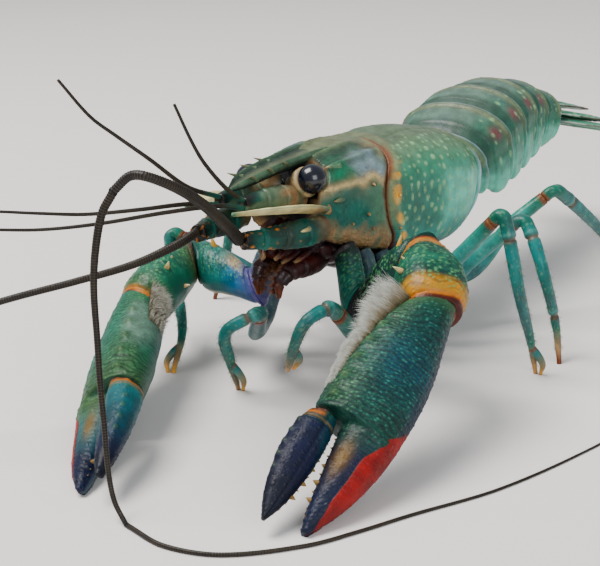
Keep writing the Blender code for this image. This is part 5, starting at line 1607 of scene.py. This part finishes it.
hairs = []
for word, side in (("left", 1), ("right", -1)):
    for k, (upper, lower) in LEGS[word].items():
        hairs.append(make_leg(word, side, k, upper, lower, len(hairs)))
finish_piece("leg_bristles", [hair for hair, node in hairs], bristle_finish("leg_bristle_finish"),
             [node for hair, node in hairs], uv="OFBake")

# %% [markdown]
# ## Mouthparts
# The jaws sit under the face, and the third pair of mouth feet folds up in front of them, dark
# and fringed with bristles. Most of this is in shadow in the photo and was filled in from the
# known build of crayfish.

# %% Mouthparts


def jaws():
    """The dark plate under the face, two hard jaws and three pairs of small palps."""
    path = route([(0, -42.0, 27.4), (0, -47.5, 27.6), (0, -50.6, 28.2)], 60)
    t = np.linspace(0, 1, 60)
    keys = (0, 0.25, 0.5, 0.75, 1)
    wide = smooth(keys, (5.4, 6.6, 6.0, 4.6, 2.4), t)
    deep = smooth(keys, (3.4, 4.0, 3.6, 2.6, 1.4), t)
    rings = tube(path, wide, deep, (1, 0, 0), 100)
    rings = swell(rings, 0.14 * grain(rings, 1.6, 201) - 0.25 * bump_at(rings[..., 0], 0, 0.4))
    tone = tone_of("belly", rings)
    tone = coats(tone, [("maroon", step_up(grain(rings, 2.2, 202), 0.0, 0.5))])
    patches = [capped(rings, tone, 0.0, 0.6)]
    for side in (1, -1):
        patches.append(ball((1.5 * side, -48.6, 24.9), (1.5, 2.0, 1.5),
                            ((0, "belly"), (0.6, "maroon"), (1, "rust"))))
        for x, y, z, reach in ((3.2, -47.8, 25.2, 3.4), (2.2, -49.4, 25.9, 2.6),
                               (4.6, -46.4, 25.0, 3.0)):
            line = np.array([(x, y, z), (x - 0.2, y - reach * 0.6, z - 0.7),
                             (x - 1.1, y - reach, z - 1.5)]) * (side, 1, 1)
            palp = limb(line, (0.75, 0.65, 0.3), (0.5, 0.45, 0.25), (1, 0, 0), 40, 24)
            t = down_rows(palp)
            patches.append(patch(palp, ramp(t, (0, "belly"), (0.6, "maroon"), (1, "clay"))))
    finish_piece("jaws", patches, shell_finish("jaw_finish"), ["head"])


def maxilliped(word, side):
    """A folded mouth foot with joints at a third and two thirds, fringed on its inner edge."""
    line = np.array([(2.9, -40.6, 21.6), (3.3, -45.6, 21.8), (3.2, -49.8, 21.9),
                     (2.5, -52.4, 20.2), (2.2, -52.6, 17.8)]) * (side, 1, 1)
    rings = limb(line, (1.8, 2.3, 2.0, 1.3, 0.5), (1.6, 1.9, 1.7, 1.1, 0.4), (1, 0, 0), 150, 56)
    t = down_rows(rings)
    rings = swell(rings, joined(t, (0.5, 0.68, 0.84), 0.35, 0.014) + 0.07 * grain(rings, 1.4, 205))
    tone = ramp(t, (0, "belly"), (0.4, "maroon"), (0.8, "belly"), (1, "rust"))
    tone = coats(tone, [("blackish_and_shade", 0.5 * step_up(grain(rings, 1.8, 206), 0, 0.5))])
    draw = np.random.default_rng(207)
    count = 700
    i = draw.integers(12, 146, count)
    roots = rings[i, (28 if side > 0 else 0) + draw.integers(-5, 6, count)]
    middle = rings[i].mean(axis=1)
    reach = draw.uniform(0.8, 1.7, count)[:, None]
    tips = roots + reach * (0.8 * unit(roots - middle) + (0, -0.35, -0.35)
                            + 0.2 * draw.uniform(-1, 1, (count, 3)))
    place = np.stack([0.05 + 0.9 * i / 150, 0.1 + 0.4 * draw.random(count)], axis=1)
    hair = bristles(roots, tips, np.full((count, 3), (0, 0, 0.12)), 0.045, place,
                    ((0, "maroon"), (0.6, "rust"), (1, "tan")), draw.uniform(-1, 1, count))
    node = "maxilliped_" + word
    shell_piece(node, [capped(rings, tone, 0.2, 0.3)])
    finish_piece(node + "_fringe", [hair], bristle_finish(node + "_fringe_finish"),
                 [node], uv="OFBake")


def breast():
    """The plate between the legs' roots, with a groove for each pair of legs."""
    line = [(0, -45.5, 25.6), (0, -38.0, 22.2), (0, -30.0, 19.2), (0, -20.0, 16.8), (0, -9.0, 15.6)]
    rings = limb(line, (5.4, 7.4, 8.6, 8.4, 5.0), (1.8, 2.4, 2.6, 2.4, 1.6), (1, 0, 0), 120, 70)
    y = rings[..., 1]
    rings = swell(rings, -0.5 * np.cos(2 * math.pi * (y + 38.2) / 5.75) ** 8
                  + 0.1 * grain(rings, 1.5, 211))
    tone = tone_of("belly", y)
    tone = coats(tone, [("maroon", 0.35 * step_up(grain(rings, 3.0, 212), -0.1, 0.5))])
    finish_piece("breast", [capped(rings, tone, 0.8, 0.8)], shell_finish("breast_finish"),
                 ["thorax"])


jaws()
breast()
maxilliped("left", 1)
maxilliped("right", -1)

# %% [markdown]
# ## Abdomen
# Six rings slide into each other like the plates of a gauntlet. Each one is an arch with side
# plates that hang down, a smooth front that its neighbour covers, and a raised hind rim.

# %% Abdomen
ABDOMEN_SPINE = ((0.0, -4.9, 28.0), (0.0, 3.0, 29.0), (-0.8, 12.0, 32.0), (-1.8, 22.5, 34.4),
                 (-2.4, 33.0, 34.9), (-2.2, 42.5, 33.8), (-1.2, 50.0, 31.8))
ABDOMEN_PARTS = (0.0, 0.22, 0.39, 0.55, 0.705, 0.85, 1.0)
ABDOMEN_KEYS = (0.0, 0.13, 0.22, 0.39, 0.55, 0.705, 0.85, 1.0)
ABDOMEN_HALF_WIDTH = (7.4, 8.8, 10.6, 12.2, 11.8, 10.8, 9.6, 8.2)
ABDOMEN_TOP = (4.8, 5.4, 6.2, 7.0, 7.1, 6.8, 5.9, 4.6)
ABDOMEN_DROP = (4.6, 5.4, 9.2, 11.6, 11.8, 11.0, 9.2, 6.0)
RING_X = (0, .32, .6, .83, .97, 1.0, .93, .80, .62, .3, 0)
RING_G = (1.0, .95, .8, .55, .2, -.25, -.85, -1.0, -.45, -.3, -.28)


def abdomen_grid(k, rows=50, columns=208):
    """Ring k: ten measured corners a side, read round the section and rounded by averaging,
    scaled by the width, top and drop read along the abdomen's spine."""
    a, b = ABDOMEN_PARTS[k], ABDOMEN_PARTS[k + 1]
    t = np.linspace(0, 1, rows)
    u = a + (b - a) * (0.017 + 0.972 * t)
    path = route(ABDOMEN_SPINE, 401)
    at = np.linspace(0, 1, 401)
    place = np.stack([np.interp(u, at, path[:, i]) for i in range(3)], axis=-1)
    way = unit(np.gradient(path, axis=0))
    way = unit(np.stack([np.interp(u, at, way[:, i]) for i in range(3)], axis=-1))
    grow = smooth((0, 0.25, 0.5, 0.75, 1), (0.93, 0.99, 1.0, 1.02, 1.03), t)
    w, top, drop = (smooth(ABDOMEN_KEYS, values, u) * grow
                    for values in (ABDOMEN_HALF_WIDTH, ABDOMEN_TOP, ABDOMEN_DROP))
    drop = drop * (0.66 + 0.36 * np.sin(math.pi * (0.12 + 0.75 * t)))
    corner = np.arange(columns) * 20 / columns
    folded = np.where(corner > 10, 20 - corner, corner)
    x = np.interp(folded, np.arange(11), RING_X) * np.where(corner > 10, -1, 1)
    up = np.interp(folded, np.arange(11), np.clip(RING_G, 0, 1))
    down = np.interp(folded, np.arange(11), np.clip(RING_G, -1, 0))
    for _ in range(14):
        x, up, down = ((np.roll(v, 1) + 2 * v + np.roll(v, -1)) / 4 for v in (x, up, down))
    side = unit(np.cross(way, (0, 0, 1)))
    above = np.cross(side, way)
    rings = (place[:, None] + side[:, None] * (w[:, None] * x)[..., None]
             + above[:, None] * (top[:, None] * up + drop[:, None] * down)[..., None])
    return rings, t[:, None] + 0 * folded, folded + 0 * t[:, None], way


def abdomen_ring(k):
    """Relief: a step behind the smooth front, the hind rim's roll and fine pits. Tone: grey-green
    back, rosy spots on the flanks, mint side plates with pale edges, an olive hind band."""
    rings, t, corner, way = abdomen_grid(k)
    rough, fine = grain(rings, 4.0, 220 + k), grain(rings, 1.2, 230 + k)
    outer = fall(corner, 6.9, 7.6)
    height = (0.22 * step_up(t, 0.26, 0.34) + 0.16 * bump_at(t, 0.93, 0.05)
              - 0.2 * bump_at(t, 0.85, 0.03) + 0.08 * rough + 0.04 * fine
              - 0.22 * bump_at(corner, 4.7, 0.28) * step_up(t, 0.1, 0.3))
    beads, _ = dots(t * 8, corner * 2.3, 1.3, 240 + k, 0.26, 0.07)
    beads = beads * step_up(t, 0.3, 0.45)
    rings = swell(rings, (height + 0.06 * beads) * outer)
    blur = corner + 0.35 * rough + 0.2 * fine
    tone = tone_of("pewter", t)
    spots, _ = dots(t * 8 + 3 * k, corner * 2.3, 2.1, 250 + k, 0.20, 0.08, 0.12)
    spots = spots * step_up(corner, 1.6, 2.4)
    tone = coats(tone, [
        ("dusk", 0.6 * step_up(grain(rings, 6.0, 215), 0.0, 0.6)),
        ("reed", 0.8 * step_up(blur, 1.0, 3.2)),
        ("mint", 0.85 * step_up(blur, 4.6, 6.2)),
        ("deep olive", 0.6 * fall(t, 0.3, 0.5) * fall(blur, 3, 5)),
        ("khaki", 0.7 * bump_at(t, 0.87, 0.1) * fall(corner, 4, 5)),
        ("rose", 0.6 * bump_at(corner, 3.4, 0.55) * bump_at(t, 0.6, 0.16) * (k < 5)),
        ("spot", 0.55 * spots * outer * step_up(t, 0.34, 0.44)),
        ("foam", 0.5 * bump_at(corner, 7.0, 0.35)),
        ("rim", 0.4 * step_up(t, 0.965, 0.985) * outer),
        ("belly", step_up(corner, 7.4, 8.0))])
    first, last = (pull_in(rings[end], 0.93) + way[end] * slip for end, slip in ((0, 0.35),
                                                                                (-1, -0.35)))
    rings = np.concatenate([first[None], rings, last[None]])
    # Painted shade: each ring's end caps, where the rings overlap, are belly paint at the front and
    # the hind edge's colour dimmed to 0.7 at the back.
    tone = np.concatenate([tone_of("belly", tone[:1]), tone, tone[-3:-2] * 0.7])
    patches = [patch(rings, tone)]
    if 0 < k < 5:
        patches += swimmerets(k)
    node = f"abdomen_{k + 1}"
    shell_piece(node, patches)


def swimmerets(k):
    """Two flat lobes that hang from the hollow under a ring."""
    rings, _, _, way = abdomen_grid(k, 5, 20)
    ring, along = rings[2], way[2]
    lobes = []
    for j in (8, 12):
        root = ring[j] * 0.45 + ring[10] * 0.55 + (0, 0, 0.6)
        out = unit((ring[j] - ring[10]) * 0.25 - np.array([0, 0, 4.5]) + along * 2.0)
        path = route(root + out * np.array([0, 2.4, 4.8, 6.0])[:, None], 50)
        at, s = np.linspace(0, 1, 50), (0, 0.4, 0.8, 1)
        lobe = tube(path, smooth(s, (1.2, 1.5, 1.3, 0.4), at), smooth(s, (.45, .5, .4, .2), at),
                    along, 32)
        lobes.append(patch(swell(lobe, 0.04 * grain(lobe, 0.9, 260)),
                           ramp(down_rows(lobe), (0, "flank"), (0.6, "dusk"), (1, "tan"))))
    return lobes


for k in range(6):
    abdomen_ring(k)

# %% [markdown]
# ## Tail fan
# The telson and two pairs of uropods spread like a hand of cards. Each blade has a raised
# mid-rib and a fringe of fine bristles round its end.

# %% Tail fan
FAN_ROOT = (-1.15, 50.3, 33.6)
FAN_ALONG = (0.15, 0.97, -0.26)
BLADES = {"telson": (0, 0.0, 17.0, 4.6, 0.6), "uropod_left_inner": (1, 22.0, 18.6, 4.4, -1.5),
          "uropod_right_inner": (-1, 22.0, 18.6, 4.4, -1.5),
          "uropod_left_outer": (1, 42.0, 19.4, 5.0, -3.2),
          "uropod_right_outer": (-1, 42.0, 19.4, 5.0, -3.2)}


def fan_blade(name, hand, spread, length, half, level, seed):
    """Relief: a mid-rib, a rib on each side, a cross seam at three quarters and ruffled edges.
    Tone: green root, grey-lilac towards the end, pale flecks and a pale margin."""
    along = unit(FAN_ALONG)
    side = unit(np.cross(along, (0, 0, 1)))
    up = np.cross(side, along)
    turn = math.radians(spread) * hand
    way = along * math.cos(turn) + side * math.sin(turn)
    wide = side * math.cos(turn) - along * math.sin(turn)
    start = (np.array(FAN_ROOT) + side * hand * (1.4 + spread * 0.07) + up * level
             + along * (0.85 - 0.24 * level))
    rows, columns = 112, 120
    t = np.linspace(0, 1, rows)
    keys = (0, 0.1, 0.3, 0.55, 0.8, 0.95, 1.0)
    w = half * smooth(keys, (0.32, 0.6, 0.88, 1.0, 0.96, 0.66, 0.3), t)
    deep = smooth(keys, (0.6, 0.6, 0.6, 0.55, 0.45, 0.4, 0.3), t)
    rings = tube(start + way * (t * length)[:, None], w, deep, wide, columns, 2.3)
    angle = turns(columns)
    c = np.broadcast_to(np.cos(angle), rings.shape[:2])
    t = down_rows(rings)
    rough, fine = grain(rings, 2.5, seed), grain(rings, 0.8, seed + 1)
    ribs = bump_at(c, 0, 0.07) + 0.6 * bump_at(np.abs(c), 0.55, 0.05) * step_up(t, 0.1, 0.3)
    seam = bump_at(t, 0.74 - 0.04 * c * c, 0.012) if name != "telson" else 0 * t
    comb = np.sin(c * half * 9) * step_up(t, 0.76, 0.9)
    rings = swell(rings, 0.28 * ribs * fall(t, 0.7, 0.95) - 0.18 * seam + 0.04 * comb
                  + 0.05 * rough + 0.03 * fine)
    tone = ramp(t + 0.06 * rough, (0, "pine"), (0.2, "reed"), (0.55, "leaf"), (0.8, "lilac grey"),
                (1, "mist"))
    spots, _ = dots(t * length, c * half, 1.7, seed + 2, 0.2, 0.08, 0.12)
    tone = coats(tone, [
        ("sage", 0.5 * ribs),
        ("deep olive", 0.6 * seam),
        ("spot", 0.6 * spots * fall(t, 0.65, 0.75) * step_up(t, 0.12, 0.2)),
        ("foam", 0.5 * step_up(np.abs(c), 0.93, 0.99))])
    draw = np.random.default_rng(seed + 3)
    count = 1250
    i = (rows * (1 - 0.62 * draw.random(count) ** 1.7)).astype(int).clip(1, rows - 2)
    edge = np.where(draw.random(count) < 0.5, 0, columns // 2) + draw.integers(-3, 4, count)
    last = i > rows * 0.94
    edge = np.where(last, draw.integers(0, columns, count), edge) % columns
    roots = rings[i, edge]
    away = unit(roots - rings[i].mean(axis=1))
    bias = step_up(i / rows, 0.4, 1.0)[:, None]
    reach = (0.6 + 1.5 * bias) * draw.uniform(0.75, 1.0, count)[:, None]
    tips = roots + reach * unit(away * (1.1 - bias) + way * (0.35 + bias)
                                + 0.10 * draw.uniform(-1, 1, (count, 3)))
    place = np.stack([0.03 + 0.9 * i / rows, 0.03 + 0.9 * edge / columns], axis=1)
    fringe = bristles(roots, tips, np.zeros((count, 3)), 0.045, place,
                      ((0, "tan"), (0.5, "dusk"), (1, "tan")), draw.uniform(-1, 1, count))
    finish_piece(name + "_blade", [capped(rings, tone, 0.15, 0.25)],
                 shell_finish(name + "_finish"), [name])
    finish_piece(name + "_fringe", [fringe], bristle_finish(name + "_fringe_finish"),
                 [name], uv="OFBake")


for k, (name, measures) in enumerate(BLADES.items()):
    fan_blade(name, *measures, 300 + 10 * k)
